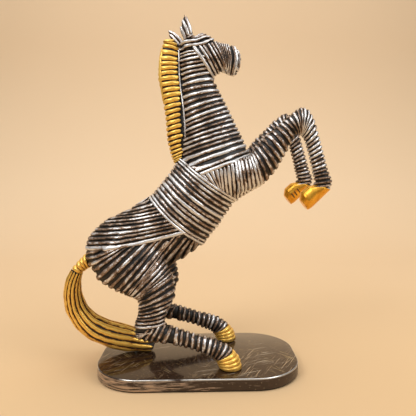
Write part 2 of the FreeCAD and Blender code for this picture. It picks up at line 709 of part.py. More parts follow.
def slab_above(centre, tilt, reach, height):
    """A block on the upper side of a sloping plane, wide enough to cut everything there."""
    corner = centre - heading(tilt) * reach - Vector(0, reach, 0)
    block = Part.makeBox(2 * reach, 2 * reach, height)
    block.Placement = FreeCAD.Placement(corner, FreeCAD.Rotation(Vector(0, 1, 0), -tilt))
    return block


def grooved(sections, places, tilts, depth):
    """A loft with a groove round it at each place, where its main cords part."""
    core = loft(sections, -depth)
    plates = [slab_above(place, tilt, size("chest_length"), size("groove_width")).cut(core)
              for place, tilt in zip(places, tilts)]
    return loft(sections).cut(plates)


hind_bores = []
fore_bores = []
for side_name, side in SIDES:
    leg = hind_leg(side)
    thigh_ribs = ribs(leg["hip"], leg["stifle"], THIGH_SHARES)
    gaskin_ribs = ribs(leg["stifle"], leg["hock"], GASKIN_SHARES)
    shank_ribs = ribs(leg["hock"], leg["coronet"], SHANK_SHARES)
    hoof_ribs = ribs(leg["coronet"], leg["sole"], HIND_HOOF_SHARES)
    wire_points = [section.centre for section in
                   (thigh_ribs[0], thigh_ribs[2], leg["stifle"], leg["hock"],
                    shank_ribs[2], shank_ribs[4], shank_ribs[6], leg["coronet"])]
    wire_points.append(part_way(leg["coronet"], leg["sole"], HOOF_WIRE_SHARE))
    bore = wire(side_name + "_hind_wire", wire_points)
    hind_bores.append(bore)
    casting(side_name + "_thigh", loft(thigh_ribs), [rump_envelope, barrel_envelope, bore])
    casting(side_name + "_gaskin", loft(gaskin_ribs), [bore])
    casting(side_name + "_shank", loft(shank_ribs), [bore])
    casting(side_name + "_hind_hoof", loft(hoof_ribs), [bore, screw_bores[side_name + "_hoof"]])

for side_name, side in SIDES:
    leg = fore_leg(side, side_name)
    forearm_ribs = ribs(leg["shoulder"], leg["knee"], FOREARM_SHARES)
    cannon_ribs = ribs(leg["knee"], leg["fetlock"], CANNON_SHARES)
    hoof_ribs = ribs(leg["fetlock"], leg["sole"], FORE_HOOF_SHARES)
    wire_points = [section.centre for section in
                   (forearm_ribs[0], forearm_ribs[3], leg["knee"], cannon_ribs[2],
                    cannon_ribs[4], cannon_ribs[6], leg["fetlock"])]
    wire_points.append(part_way(leg["fetlock"], leg["sole"], FORE_HOOF_WIRE_SHARE))
    bore = wire(side_name + "_fore_wire", wire_points)
    fore_bores.append(bore)
    casting(side_name + "_forearm", loft(forearm_ribs), [chest_envelope, neck_envelope, bore])
    casting(side_name + "_fore_cannon", loft(cannon_ribs), [bore])
    casting(side_name + "_fore_hoof", loft(hoof_ribs), [bore])

tail_wire_points = [part_way(dock, loin, TAIL_WIRE_ROOT_SHARE), dock.centre, binding_end.centre]
tail_wire_points += [section.centre for section in tail_ribs[2:7]]
tail_bore = wire("tail_wire", tail_wire_points)

rump = hindquarters_ribs[4]
croup_places = [rump.centre + heading(rump.tilt) * (rump.depth * share)
                for share in CROUP_GROOVE_SHARES]
croup_tilts = [size("croup_groove_tilt")] * len(croup_places)
croup = grooved(hindquarters_ribs, croup_places, croup_tilts, size("croup_groove_depth"))
casting("hindquarters", croup, hind_bores + [tail_bore, loin_bore])
casting("barrel", loft(barrel_ribs), [loin_bore, girth_bore])
above_neck_seat = slab_above(neck_seat.centre, neck_seat.tilt, size("chest_length"),
                             size("chest_length"))
casting("chest", loft(chest_ribs), fore_bores + [girth_bore, neck_bore, above_neck_seat])
neck_places = [part_way(neck_seat, poll, share) for share in NECK_GROOVE_SHARES]
neck_turn = size("neck_groove_top_tilt") - size("neck_groove_foot_tilt")
neck_tilts = [size("neck_groove_foot_tilt") + neck_turn * share for share in NECK_GROOVE_SHARES]
bound_neck = grooved(neck_ribs, neck_places, neck_tilts, size("neck_groove_depth"))
casting("neck", bound_neck, [neck_bore, head_bore])
casting("head", loft(head_ribs), [head_bore])
casting("muzzle", loft(muzzle_ribs), [])

# Crest, ears, binding and tail

casting("mane", loft(mane_ribs), [neck_envelope, head_envelope, chest_envelope, barrel_envelope])


def ear_ribs(side, side_name):
    """The sections of one ear, from its root in the head to its tip."""
    cheek = head_ribs[1]
    root = cheek.centre - heading(cheek.tilt) * (cheek.depth * EAR_ROOT_SHARE)
    angle = size(side_name + "_ear_angle")
    length = size(side_name + "_ear_length")
    breadth = size("ear_half_breadth")
    thickness = size("ear_half_thickness")
    sections = []
    for along_share, breadth_share, thickness_share in EAR_SHARES:
        centre = root + heading(angle) * (length * along_share)
        centre.y = side * (size("ear_spread") + size("ear_splay") * along_share)
        sections.append(Seam(centre, breadth * breadth_share, thickness * thickness_share, angle - 90))
    tip = root + heading(angle) * length
    tip.y = side * (size("ear_spread") + size("ear_splay"))
    sections.append(Seam(tip, size("ear_tip_radius"), size("ear_tip_radius"), angle - 90))
    return sections


for side_name, side in SIDES:
    casting(side_name + "_ear", loft(ear_ribs(side, side_name)), [head_envelope, neck_envelope])

casting("tail_binding", loft(binding_ribs), [tail_bore])
ground_reach = size("base_length")
below_base_top = Part.makeBox(2 * ground_reach, 2 * ground_reach, base_top,
                              Vector(-ground_reach, -ground_reach, 0))
casting("tail", loft(tail_ribs), [tail_bore, screw_bores["tail"], below_base_top])

# Checks and files

document.recompute()
for item in document.Objects:
    assert "Invalid" not in item.State and "Error" not in item.State, item.Name
os.makedirs("parts", exist_ok=True)
for item in sub_parts:
    assert not item.Shape.isNull() and item.Shape.isValid(), item.Label
    print(item.Label, "solids", len(item.Shape.Solids), "volume", round(item.Shape.Volume, 1))
for item in sub_parts:
    item.Shape.exportStep("parts/" + item.Label + ".step")
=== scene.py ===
# %% [markdown]
# # A rearing horse, bound in cord and cast in polyresin
# The real object is a table ornament. Its maker bound a rough horse with cord, took a mould from it
# and cast it in polyresin. The casting was painted black, brushed with silver where the cords stand
# proud, and its mane, tail and hooves were brushed with gold.
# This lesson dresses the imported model: it keeps every size of the frame and adds the cords, the
# paint and the lacquer. Places are written in millimetres in the side view, as (forward, up), and
# the horse's right side, at -Y, faces the camera.

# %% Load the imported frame
import bpy
import json
import math
from functools import partial
import numpy as np
from mathutils import Euler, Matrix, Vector, noise
from mathutils.bvhtree import BVHTree

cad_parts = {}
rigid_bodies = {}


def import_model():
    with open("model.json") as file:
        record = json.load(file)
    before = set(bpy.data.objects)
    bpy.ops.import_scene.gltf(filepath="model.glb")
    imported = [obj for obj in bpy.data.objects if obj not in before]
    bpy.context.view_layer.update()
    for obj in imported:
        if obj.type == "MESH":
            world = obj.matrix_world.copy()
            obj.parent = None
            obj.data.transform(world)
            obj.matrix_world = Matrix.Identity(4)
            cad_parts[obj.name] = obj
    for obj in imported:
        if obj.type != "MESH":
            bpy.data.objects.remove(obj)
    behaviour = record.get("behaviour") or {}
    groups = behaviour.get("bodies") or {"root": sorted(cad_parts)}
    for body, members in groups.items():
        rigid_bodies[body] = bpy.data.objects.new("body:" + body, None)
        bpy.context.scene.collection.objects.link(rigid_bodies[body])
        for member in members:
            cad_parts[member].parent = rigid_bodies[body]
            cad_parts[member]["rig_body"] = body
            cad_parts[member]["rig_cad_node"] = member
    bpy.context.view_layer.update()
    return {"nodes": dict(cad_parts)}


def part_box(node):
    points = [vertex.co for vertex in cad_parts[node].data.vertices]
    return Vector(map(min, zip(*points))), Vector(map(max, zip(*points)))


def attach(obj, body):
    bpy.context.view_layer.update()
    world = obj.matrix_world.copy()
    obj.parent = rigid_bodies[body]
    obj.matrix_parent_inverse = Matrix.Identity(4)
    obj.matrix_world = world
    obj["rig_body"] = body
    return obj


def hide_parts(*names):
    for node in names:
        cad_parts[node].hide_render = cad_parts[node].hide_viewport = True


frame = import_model()
MM = 0.001
SIDES = ((-1, "right"), (1, "left"))
print("frame nodes:", len(frame["nodes"]))

# %% [markdown]
# ## Camera
# A product picture is taken from the side, a little above the middle of the object. The lens is
# written by its length in picture pixels, and the camera stands on a circle round its aim, so that
# its distance, rise and turn can be changed one by one.

# %% Camera
PICTURE_PIXELS = 416
LENS_PIXELS = 450
SENSOR_WIDTH = 36.0
CAMERA_AIM = Vector((9.23, 0.0, 130.88)) * MM
CAMERA_DISTANCE = 364.6 * MM
CAMERA_RISE = math.radians(4.17)
CAMERA_TURN = math.radians(-0.877)
CAMERA_ROLL = math.radians(-0.475)


def add_camera():
    """The camera looks along +Y, a little downwards, at the middle of the horse."""
    back = Vector((0, -math.cos(CAMERA_RISE), math.sin(CAMERA_RISE)))
    place = CAMERA_AIM + back * CAMERA_DISTANCE
    place.rotate(Euler((0, 0, CAMERA_TURN)))
    bpy.ops.object.camera_add(location=place)
    made = bpy.context.object
    made.name = "picture_camera"
    made.rotation_euler = Euler((math.pi / 2 - CAMERA_RISE, 0, CAMERA_TURN))
    made.rotation_euler.rotate_axis("Z", CAMERA_ROLL)
    made.data.sensor_width = SENSOR_WIDTH
    made.data.lens = SENSOR_WIDTH * LENS_PIXELS / PICTURE_PIXELS
    made.data.clip_start = 10 * MM
    bpy.context.scene.camera = made
    return made


camera = add_camera()
print("camera at", [round(value / MM, 1) for value in camera.location])

# %% [markdown]
# ## Colours and nodes
# Paint makers and pictures give colours as sRGB hex. A shader reads linear values, so one function
# turns the one into the other. A second function adds any shader node with its settings, its inputs
# and, for a colour ramp, its stops, and gives the output that the next node reads. Each new
# material comes with that function tied to its own node tree.

# %% Colour and node helpers


def paint(hex_colour):
    """The linear colour of an sRGB hex value."""
    shares = [int(hex_colour[place:place + 2], 16) / 255 for place in (1, 3, 5)]
    linear = [(share / 12.92 if share <= 0.04045 else ((share + 0.055) / 1.055) ** 2.4)
              for share in shares]
    return (*linear, 1.0)


def add_node(tree, kind, inputs=None, output=0, stops=(), **settings):
    """Adds a node, sets it up, fills or links its inputs, and gives one of its outputs."""
    node = tree.nodes.new("ShaderNode" + kind)
    for name, value in settings.items():
        setattr(node, name, value)
    for name, value in (inputs or {}).items():
        if isinstance(value, bpy.types.NodeSocket):
            tree.links.new(value, node.inputs[name])
        else:
            node.inputs[name].default_value = value
    if stops:
        for _ in stops[2:]:
            node.color_ramp.elements.new(1.0)
        for element, (place, colour) in zip(node.color_ramp.elements, stops):
            element.position = place
            element.color = paint(colour)
    return node.outputs[output] if node.outputs else node


def new_material(name):
    """A material with an empty node tree, and add_node tied to that tree."""
    material = bpy.data.materials.new(name)
    material.use_nodes = True
    material.node_tree.nodes.clear()
    return material, partial(add_node, material.node_tree)


print("ready to mix paint, for instance silver:", [round(c, 3) for c in paint("#D8D4CC")])

# %% [markdown]
# ## Floor and backdrop
# The picture has a plain pale floor that runs up into a backdrop without an edge, so one sheet of
# paper is bent up behind the object, as in a studio. The paper is painted paler towards the back:
# painted light, which brightens the backdrop where less light falls on it. Lengths and places of the
# paper and the lamps are in metres.

# %% Floor and backdrop
# The far paper is paler than the near: painted light, brightening the backdrop where less light
# falls.
FLOOR_NEAR, FLOOR_FAR = "#D2B084", "#E9CDA9"
FLOOR_HALF = 1.0
BACKDROP_HEIGHT = 1.6
BEND_WIDTH = 0.55
BEND_STEPS = 14
BACKDROP_FOOT = 0.1
FADE_START, FADE_END, FADE_MOST = -0.1, 0.8, 0.9
CLOUDS_PER_METRE, CLOUD_SHARE = 3.0, 0.15


def matt_paper(name):
    """Matt background paper, painted paler towards the back as painted light, with a very faint
    cloudiness.
    """
    material, add = new_material(name)
    place = add("TexCoord", output="Object")
    cloud = add("TexNoise", {"Vector": place, "Scale": CLOUDS_PER_METRE})
    back = add("SeparateXYZ", {"Vector": place}, "Y")
    fade = add("MapRange", {"Value": back, "From Min": FADE_START, "From Max": FADE_END,
                            "To Max": FADE_MOST})
    share = add("Math", {0: cloud, 1: CLOUD_SHARE, 2: fade}, operation="MULTIPLY_ADD")
    colour = add("Mix", {0: share, 6: paint(FLOOR_NEAR), 7: paint(FLOOR_FAR)}, 2,
                 data_type="RGBA")
    shader = add("BsdfPrincipled", {
        "Base Color": colour, "Roughness": 0.9, "Specular IOR Level": 0.1})
    add("OutputMaterial", {"Surface": shader})
    return material


def select_edges(piece, test):
    """Selects the edges whose two ends pass a test, and stays in edge mode."""
    bpy.ops.object.mode_set(mode="EDIT")
    bpy.ops.mesh.select_mode(type="EDGE")
    bpy.ops.mesh.select_all(action="DESELECT")
    bpy.ops.object.mode_set(mode="OBJECT")
    for edge in piece.data.edges:
        edge.select = test(*(piece.data.vertices[index].co for index in edge.vertices))
    bpy.ops.object.mode_set(mode="EDIT")


def face_outwards():
    """Turns all faces of the piece in edit mode outwards, and leaves edit mode."""
    bpy.ops.mesh.select_all(action="SELECT")
    bpy.ops.mesh.normals_make_consistent(inside=False)
    bpy.ops.object.mode_set(mode="OBJECT")


def add_floor():
    """A sheet of paper that lies under the object and bends up behind it."""
    bpy.ops.object.select_all(action="DESELECT")
    bpy.ops.mesh.primitive_plane_add(size=2 * FLOOR_HALF)
    sheet = bpy.context.object
    sheet.name = "paper_floor"
    select_edges(sheet, lambda one, two: min(one.y, two.y) > 0)
    bpy.ops.mesh.extrude_region_move(TRANSFORM_OT_translate={"value": (0, 0, BACKDROP_HEIGHT)})
    bpy.ops.object.mode_set(mode="OBJECT")
    select_edges(sheet, lambda one, two: min(one.y, two.y) > 0
                 and max(one.z, two.z) < BACKDROP_FOOT)
    bpy.ops.mesh.bevel(offset=BEND_WIDTH, segments=BEND_STEPS, affect="EDGES")
    face_outwards()
    bpy.ops.object.shade_smooth()
    sheet.data.materials.append(matt_paper("matt_paper"))
    return sheet


floor = add_floor()
print("floor faces", len(floor.data.polygons))

# %% [markdown]
# ## Lamps and surround
# Two soft boxes in front light the horse from either side, and a broad one lights the backdrop. The
# surround is bright above and dim level with the eye, so metal paint shines where it faces up, stays
# dark where it faces the camera and takes the warm colour of the paper where it faces down.

# %% Lamps and surround
SKY_STRENGTH = 0.66
SKY = ((0.0, "#524F4B"), (0.22, "#7D7A75"), (0.45, "#F6F5F3"), (1.0, "#FFFFFF"))
LAMPS = (("key_soft_box", (-0.5, -0.6, 0.75), CAMERA_AIM, 0.45, 3.3),
         ("fill_soft_box", (0.65, -0.45, 0.6), CAMERA_AIM, 0.4, 2.3),
         ("backdrop_soft_box", (0.0, 0.2, 1.2), (0.0, 0.9, 0.4), 1.5, 9.4))


def add_lamp(name, place, aim, size, power):
    """A square soft box that faces its aim, of so many metres and watts."""
    bpy.ops.object.light_add(type="AREA", location=place)
    lamp = bpy.context.object
    lamp.name = name
    lamp.data.shape = "SQUARE"
    lamp.data.size = size
    lamp.data.energy = power
    lamp.rotation_euler = (Vector(aim) - Vector(place)).to_track_quat("-Z", "Y").to_euler()


def add_surround():
    """A surround that is bright overhead and dim at the height of the eye."""
    world = bpy.data.worlds.new("studio_surround")
    world.use_nodes = True
    bpy.context.scene.world = world
    add = partial(add_node, world.node_tree)
    heading = add("TexCoord", output="Generated")
    height = add("SeparateXYZ", {"Vector": heading}, "Z")
    sky = add("ValToRGB", {"Fac": height}, stops=SKY)
    surround = world.node_tree.nodes["Background"]
    surround.inputs["Strength"].default_value = SKY_STRENGTH
    world.node_tree.links.new(sky, surround.inputs["Color"])


add_surround()
for lamp in LAMPS:
    add_lamp(*lamp)
bpy.context.scene.view_settings.view_transform = "Standard"
print("lamps", len(LAMPS))

# %% [markdown]
# ## The painted ground
# The whole casting was first coated in black-brown paint, and that ground still shows in every
# groove. Copies of the frame's castings are merged into one closed skin, by voxels, because their
# loose triangles have to become one surface that rays and paint can follow. A pad on the withers
# fills the hollow between the neck and the trunk. The outer skin tells the cords where to lie, and
# the ground coat is the same skin, drawn in by about the height of a cord.

# %% Skin and ground coat
CASTINGS = [name for name in frame["nodes"]
            if not name.startswith("base") and "wire" not in name and "dowel" not in name]
SKIN_VOXEL = 1.4 * MM
SKIN_ROUNDS = 10
GROUND_VOXEL = 1.2 * MM
GROUND_ROUNDS = 6
GROUND_DEPTH = 1.35 * MM
WELD = 0.001 * MM
WITHERS_PAD = ((-9, 0, 165.5), (8, 9, 7))


def add_pad(place, radii):
    """An egg-shaped pad, by its place and its three radii in millimetres."""
    bpy.ops.mesh.primitive_uv_sphere_add(segments=24, ring_count=16, radius=1,
                                         location=Vector(place) * MM, scale=Vector(radii) * MM)
    bpy.ops.object.transform_apply(location=True, rotation=False, scale=True)
    return bpy.context.object


def apply_modifier(piece, kind, **settings):
    """Adds a modifier to a piece, sets it up and applies it."""
    modifier = piece.modifiers.new(kind.lower(), kind)
    for name, value in settings.items():
        setattr(modifier, name, value)
    bpy.ops.object.modifier_apply(modifier=modifier.name)


def merged_skin(name, voxel, nodes, rounds, pads=()):
    """One closed surface round copies of the frame's nodes and a few pads."""
    bpy.ops.object.select_all(action="DESELECT")
    for egg in [add_pad(*pad) for pad in pads]:
        egg.select_set(True)
    for node in nodes:
        twin = frame["nodes"][node].copy()
        twin.data = twin.data.copy()
        twin.data.materials.clear()
        twin.parent = None
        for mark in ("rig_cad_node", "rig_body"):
            del twin[mark]
        bpy.context.collection.objects.link(twin)
        twin.select_set(True)
        bpy.context.view_layer.objects.active = twin
    bpy.ops.object.join()
    piece = bpy.context.object
    piece.name = name
    bpy.ops.object.mode_set(mode="EDIT")
    bpy.ops.mesh.select_all(action="SELECT")
    bpy.ops.mesh.remove_doubles(threshold=WELD)
    bpy.ops.object.mode_set(mode="OBJECT")
    apply_modifier(piece, "REMESH", mode="VOXEL", voxel_size=voxel)
    apply_modifier(piece, "SMOOTH", iterations=rounds)
    bpy.ops.object.shade_smooth()
    return piece


skin_piece = merged_skin("outer_skin", SKIN_VOXEL, CASTINGS, SKIN_ROUNDS, [WITHERS_PAD])
skin = BVHTree.FromObject(skin_piece, bpy.context.evaluated_depsgraph_get())
print("skin faces", len(skin_piece.data.polygons))
bpy.data.objects.remove(skin_piece)

ground_coat = merged_skin("ground_coat", GROUND_VOXEL, CASTINGS, GROUND_ROUNDS, [WITHERS_PAD])
apply_modifier(ground_coat, "DISPLACE", mid_level=0.0, strength=-GROUND_DEPTH)
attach(ground_coat, "root")
print("ground coat faces", len(ground_coat.data.polygons))

# %% [markdown]
# ## Brushed metal paint
# The cords carry three layers: a satin black ground, a brown beside each cord, and metal paint
# dragged over the tops with a nearly dry brush. The brown is partly a thin stain that pools beside
# each cord and partly painted shade on the cord's flanks, and on silver it is also a painted warm
# reflection of the paper. Pale streaks in the metal paint are painted highlights. Each cord piece
# stores how high every point stands on its cord and how much paint that cord took, so the paint
# knows where the brush reached. Noise moves that level: streaks about 4 mm long that run along the
# cord, a grain finer than a millimetre, and patches about 11 mm wide. Fresh metal paint is shiny and
# even, so roughness and metallic follow the same level.

# %% Brushed metal paint
STREAKS_PER_METRE = 0.24 / MM
GRAINS_PER_METRE = 1.4 / MM
PATCHES_PER_METRE = 0.09 / MM
STREAK_WEIGHT, GRAIN_WEIGHT, PATCH_WEIGHT, TONE_WEIGHT = 1.3, 0.9, 1.2, 0.5
# The levels where the brown beside the cords (partly stain, partly painted shade) and the brushed
# metal fade in.
STAIN_AND_SHADE_LEVELS = (0.4, 0.72)
BRUSH_LEVELS = (0.75, 0.97)
METAL_LEVELS = (0.35, 0.75)
GROUND_ROUGHNESS = 0.45
GROUND_METALLIC = 0.1
PAINT_RELIEF = 0.25 * MM


def brushed_paint(name, ground, stain_and_shade, metal, painted_highlight, lean, roughness, metallic):
    """Dry-brushed metal paint over a dark ground, for cast cord. Lean adds paint all over. The stain
    and shade colour is partly stain and partly painted shade, and the highlight colour streaks the
    metal as painted highlights.
    """
    material, add = new_material(name)
    crest, tone = (add("Attribute", output="Fac", attribute_name=key)
                   for key in ("crest", "tone"))
    along = add("UVMap", uv_map="cord")
    place = add("TexCoord", output="Object")
    streak = add("TexNoise", {"Vector": along, "Scale": 1.0, "Detail": 4.0, "Roughness": 0.6})
    grain, patch = (add("TexNoise", {"Vector": place, "Scale": scale, "Detail": 2.0})
                    for scale in (GRAINS_PER_METRE, PATCHES_PER_METRE))
    weights = ((streak, STREAK_WEIGHT), (grain, GRAIN_WEIGHT), (patch, PATCH_WEIGHT),
               (tone, TONE_WEIGHT))
    level = crest
    for source, weight in weights:
        level = add("Math", {0: source, 1: weight, 2: level}, operation="MULTIPLY_ADD")
    middle = sum(weight for _, weight in weights) / 2
    level = add("Math", {0: level, 1: lean - middle}, operation="ADD")
    # At middling levels the flank gets the brown of stain and painted shade; the metal is streaked
    # with the painted highlight colour.
    stain_and_shade_mask, reached = (add("MapRange", {"Value": level, "From Min": low, "From Max": high},
                           interpolation_type="SMOOTHSTEP")
                       for low, high in (STAIN_AND_SHADE_LEVELS, BRUSH_LEVELS))
    under, brushed = (add("Mix", {0: share, 6: paint(one), 7: paint(other)}, 2,
                          data_type="RGBA")
                      for share, one, other in ((stain_and_shade_mask, ground, stain_and_shade), (streak, metal, painted_highlight)))
    colour = add("Mix", {0: reached, 6: under, 7: brushed}, 2, data_type="RGBA")
    metallic = add("MapRange", {
        "Value": level, "From Min": METAL_LEVELS[0], "From Max": METAL_LEVELS[1],
        "To Min": GROUND_METALLIC, "To Max": metallic})
    rough = add("MapRange", {
        "Value": reached, "To Min": GROUND_ROUGHNESS, "To Max": roughness})
    relief = add("Math", {0: streak, 1: grain}, operation="ADD")
    bump = add("Bump", {"Height": relief, "Strength": 0.5, "Distance": PAINT_RELIEF})
    shader = add("BsdfPrincipled", {
        "Base Color": colour, "Metallic": metallic, "Roughness": rough, "Normal": bump})
    add("OutputMaterial", {"Surface": shader})
    return material


# Each paint gives its ground, the brown beside its cords (stain with painted shade, and on silver a
# painted warm reflection), its metal and a paler colour for painted highlights.
SILVER = brushed_paint("dry_brushed_silver_on_polyresin", "#0D0A08", "#8F735C", "#C4C3C3",
                       "#FFFFFF", -0.05, 0.27, 0.6)
GOLD = brushed_paint("dry_brushed_gold_on_polyresin", "#140C06", "#9C5F16", "#F6AA2C",
                     "#FFE27E", 0.2, 0.22, 0.5)
MANE_GOLD = brushed_paint("brushed_gold_on_the_mane", "#140C06", "#B06F1C", "#F8AE26",
                          "#FFE680", 0.26, 0.25, 0.4)
print("metal paints:", SILVER.name, GOLD.name, MANE_GOLD.name)

# %% [markdown]
# ## Plain finishes
# The other surfaces need no brush marks: the satin ground, the smooth gold of the fore hooves, and
# the felt, steel and wood that nobody sees. Each is one colour with flecks of a second, at the size
# of its real grain, and a relief that breaks up its shine. Grain finer than half a millimetre
# wouldn't show, so felt is drawn a little coarser than it is.

# %% Plain finishes
ROUGH_SPREAD = 0.2
FLECK_LEVELS = (0.45, 0.7)


def grained(name, colour, flecks, per_mm, roughness, metallic=0.0, relief=0.2, stretch=(1, 1, 1)):
    """A plain finish with flecks of a second colour, so many to a millimetre, and a relief in mm."""
    material, add = new_material(name)
    place = add("TexCoord", output="Object")
    drawn = add("Mapping", {"Vector": place, "Scale": stretch})
    grain = add("TexNoise", {"Vector": drawn, "Scale": per_mm / MM, "Detail": 4.0})
    tint = add("ValToRGB", {"Fac": grain}, stops=tuple(zip(FLECK_LEVELS, (colour, flecks))))
    rough = add("MapRange", {
        "Value": grain, "To Min": roughness * (1 - ROUGH_SPREAD),
        "To Max": roughness * (1 + ROUGH_SPREAD)})
    bump = add("Bump", {"Height": grain, "Strength": 0.5, "Distance": relief * MM})
    shader = add("BsdfPrincipled", {
        "Base Color": tint, "Metallic": metallic, "Roughness": rough, "Normal": bump})
    add("OutputMaterial", {"Surface": shader})
    return material


# Satin paint, nearly black: the grooves read as dark lines and still catch a soft sheen.
GROUND = grained("satin_black_ground_coat", "#0B0908", "#241C16", 0.7, 0.5)
# Gold paint laid on with a full brush: smooth and warm, with faint clouds.
SMOOTH_GOLD = grained("smooth_gold_on_polyresin", "#F8B840", "#D48E20", 0.16, 0.27, 0.7, 0.4)
# Pressed wool: dark, dull and fibrous.
FELT = grained("felt", "#1E1B18", "#35302B", 1.8, 0.95, relief=0.4)
# Drawn wire and turned screws: bare metal with the marks of the tool.
WIRE_STEEL = grained("steel_wire", "#9A9C9F", "#75777A", 0.9, 0.35, 1.0, 0.02)
SCREW_STEEL = grained("steel_screw", "#A9A493", "#8B8672", 0.7, 0.3, 1.0, 0.02)
# Beech: short flecks, drawn out along the grain.
BEECH = grained("dowel_wood", "#C79B68", "#A87A49", 0.5, 0.6, stretch=(1, 1, 0.15))
ground_coat.data.materials.append(GROUND)
print("plain finishes:", GROUND.name, SMOOTH_GOLD.name, FELT.name)

# %% [markdown]
# ## Lacquer of the base
# The base is sprayed dark brown, dusted with pale and gold flecks, scratched, and lacquered to a
# mirror. Its side is brushed along with champagne paint, and the top rim is worn to silver; that
# silver line is also a painted highlight where the rounded rim would catch the light. One material
# holds all of it, because on the real base one coat covers the whole slab: the height on the slab
# decides what shows. A clear coat gives the mirror, and the brushed side is rougher.

# %% Base lacquer
BASE_BROWNS = ("#1A110B", "#453022")
CLOUDS = 0.045 / MM
# Heights between which the top, the side and the two edges of the rim fade in; the rim is worn
# silver with a painted highlight.
TOP_FACE = (9.2 * MM, 9.6 * MM)
SIDE_FACE = (9.3 * MM, 8.9 * MM)
RIM_FROM_BELOW = (8.8 * MM, 9.3 * MM)
RIM_FROM_ABOVE = (9.98 * MM, 9.85 * MM)
SCRATCH_LENGTH, SCRATCH_WIDTH = 30 * MM, 0.6 * MM
SCRATCH_PATCHES, PATCH_SHARE = 0.038 / MM, 0.35
# Each layer of scratches has its turn, its scale, the levels where it starts and is full, its tint.
SCRATCHES = ((1.1, 1.0, 0.845, 0.9, "#B59A78"), (2.25, 1.2, 0.855, 0.91, "#A98F5E"),
             (0.35, 0.8, 0.86, 0.92, "#D8C9AE"))
SPECKS = 0.42 / MM
# The rim tint is worn silver, and it is also a painted highlight along the rounded top rim.
SPECK_TINT, SIDE_TINT, RIM_WEAR_AND_HIGHLIGHT_TINT = "#9C8668", "#B7A08B", "#D9D6D0"
SIDE_STROKES = (0.07 / MM, 0.07 / MM, 0.9 / MM)
SIDE_FADE, SIDE_LEAN = (-60 * MM, 70 * MM), (0.1, -0.13)
SIDE_METAL = 0.7
LACQUER_ROUGHNESS, SIDE_ROUGHNESS = 0.16, 0.42
STROKE_STRENGTH, COAT_STRENGTH = 0.35, 0.05
WORN_LEVELS, CHAMPAGNE_LEVELS, SPECK_LEVELS = (0.35, 0.5), (0.52, 0.64), (0.16, 0.06)
LACQUER_RELIEF = 0.2 * MM


def scratch_mask(add, place, on_top, turn, scale, low, high):
    """Long thin scratches that all run one way on the top, more of them in some patches."""
    drawn = add("Mapping", {
        "Vector": place, "Rotation": (0, 0, turn),
        "Scale": (SCRATCH_LENGTH / scale, SCRATCH_WIDTH / scale, 1)}, vector_type="TEXTURE")
    scratch = add("TexNoise", {
        "Vector": drawn, "Scale": 1.0, "Detail": 2.0, "Distortion": 0.4})
    patch = add("TexNoise", {"Vector": place, "Scale": SCRATCH_PATCHES * scale})
    dense = add("Math", {0: patch, 1: PATCH_SHARE, 2: scratch}, operation="MULTIPLY_ADD")
    mask = add("MapRange", {"Value": dense, "From Min": low, "From Max": high})
    return add("Math", {0: mask, 1: on_top}, operation="MULTIPLY")


def base_finish(name):
    """Dark lacquer with flecks and scratches, a worn rim with a painted highlight, and a brushed
    side.
    """
    material, add = new_material(name)
    place = add("TexCoord", output="Object")
    sideways, height = (add("SeparateXYZ", {"Vector": place}, axis) for axis in "XZ")
    on_top, on_side, above, below = (
        add("MapRange", {"Value": height, "From Min": start, "From Max": end})
        for start, end in (TOP_FACE, SIDE_FACE, RIM_FROM_BELOW, RIM_FROM_ABOVE))
    cloud = add("TexNoise", {"Vector": place, "Scale": CLOUDS, "Detail": 5.0})
    strokes = add("Mapping", {"Vector": place, "Scale": SIDE_STROKES})
    brush = add("TexNoise", {
        "Vector": strokes, "Scale": 1.0, "Detail": 6.0, "Roughness": 0.65})
    leftward = add("MapRange", {
        "Value": sideways, "From Min": SIDE_FADE[0], "From Max": SIDE_FADE[1],
        "To Min": SIDE_LEAN[0], "To Max": SIDE_LEAN[1]})
    brushed = add("Math", {0: brush, 1: leftward}, operation="ADD")
    speck = add("TexVoronoi", {"Vector": place, "Scale": SPECKS})
    worn, champagne, dust = (
        add("MapRange", {"Value": pattern, "From Min": start, "From Max": end})
        for pattern, (start, end) in ((cloud, WORN_LEVELS), (brushed, CHAMPAGNE_LEVELS),
                                      (speck, SPECK_LEVELS)))
    side = add("Math", {0: champagne, 1: on_side}, operation="MULTIPLY")
    rim = add("Math", {0: above, 1: below}, operation="MULTIPLY")
    rim = add("Math", {0: rim, 1: worn}, operation="MULTIPLY")
    layers = [(cloud, BASE_BROWNS[1])]
    for turn, scale, low, high, tint in SCRATCHES:
        layers.append((scratch_mask(add, place, on_top, turn, scale, low, high), tint))
    layers += [(dust, SPECK_TINT), (side, SIDE_TINT), (rim, RIM_WEAR_AND_HIGHLIGHT_TINT)]
    colour = paint(BASE_BROWNS[0])
    for mask, tint in layers:
        colour = add("Mix", {0: mask, 6: colour, 7: paint(tint)}, 2, data_type="RGBA")
    metal = add("Math", {0: side, 1: SIDE_METAL, 2: rim}, operation="MULTIPLY_ADD",
                use_clamp=True)
    rough = add("MapRange", {
        "Value": on_side, "To Min": LACQUER_ROUGHNESS, "To Max": SIDE_ROUGHNESS})
    bump, upright = (
        add("Bump", {"Height": pattern, "Strength": strength, "Distance": LACQUER_RELIEF})
        for pattern, strength in ((brush, STROKE_STRENGTH), (cloud, COAT_STRENGTH)))
    shader = add("BsdfPrincipled", {
        "Base Color": colour, "Metallic": metal, "Roughness": rough, "Coat Weight": 0.4,
        "Coat Roughness": 0.05, "Specular IOR Level": 0.3, "Normal": bump, "Coat Normal": upright})
    add("OutputMaterial", {"Surface": shader})
    return material


LACQUER = base_finish("dark_brown_lacquer_on_polyresin")
print("lacquer has", len(LACQUER.node_tree.nodes), "nodes")

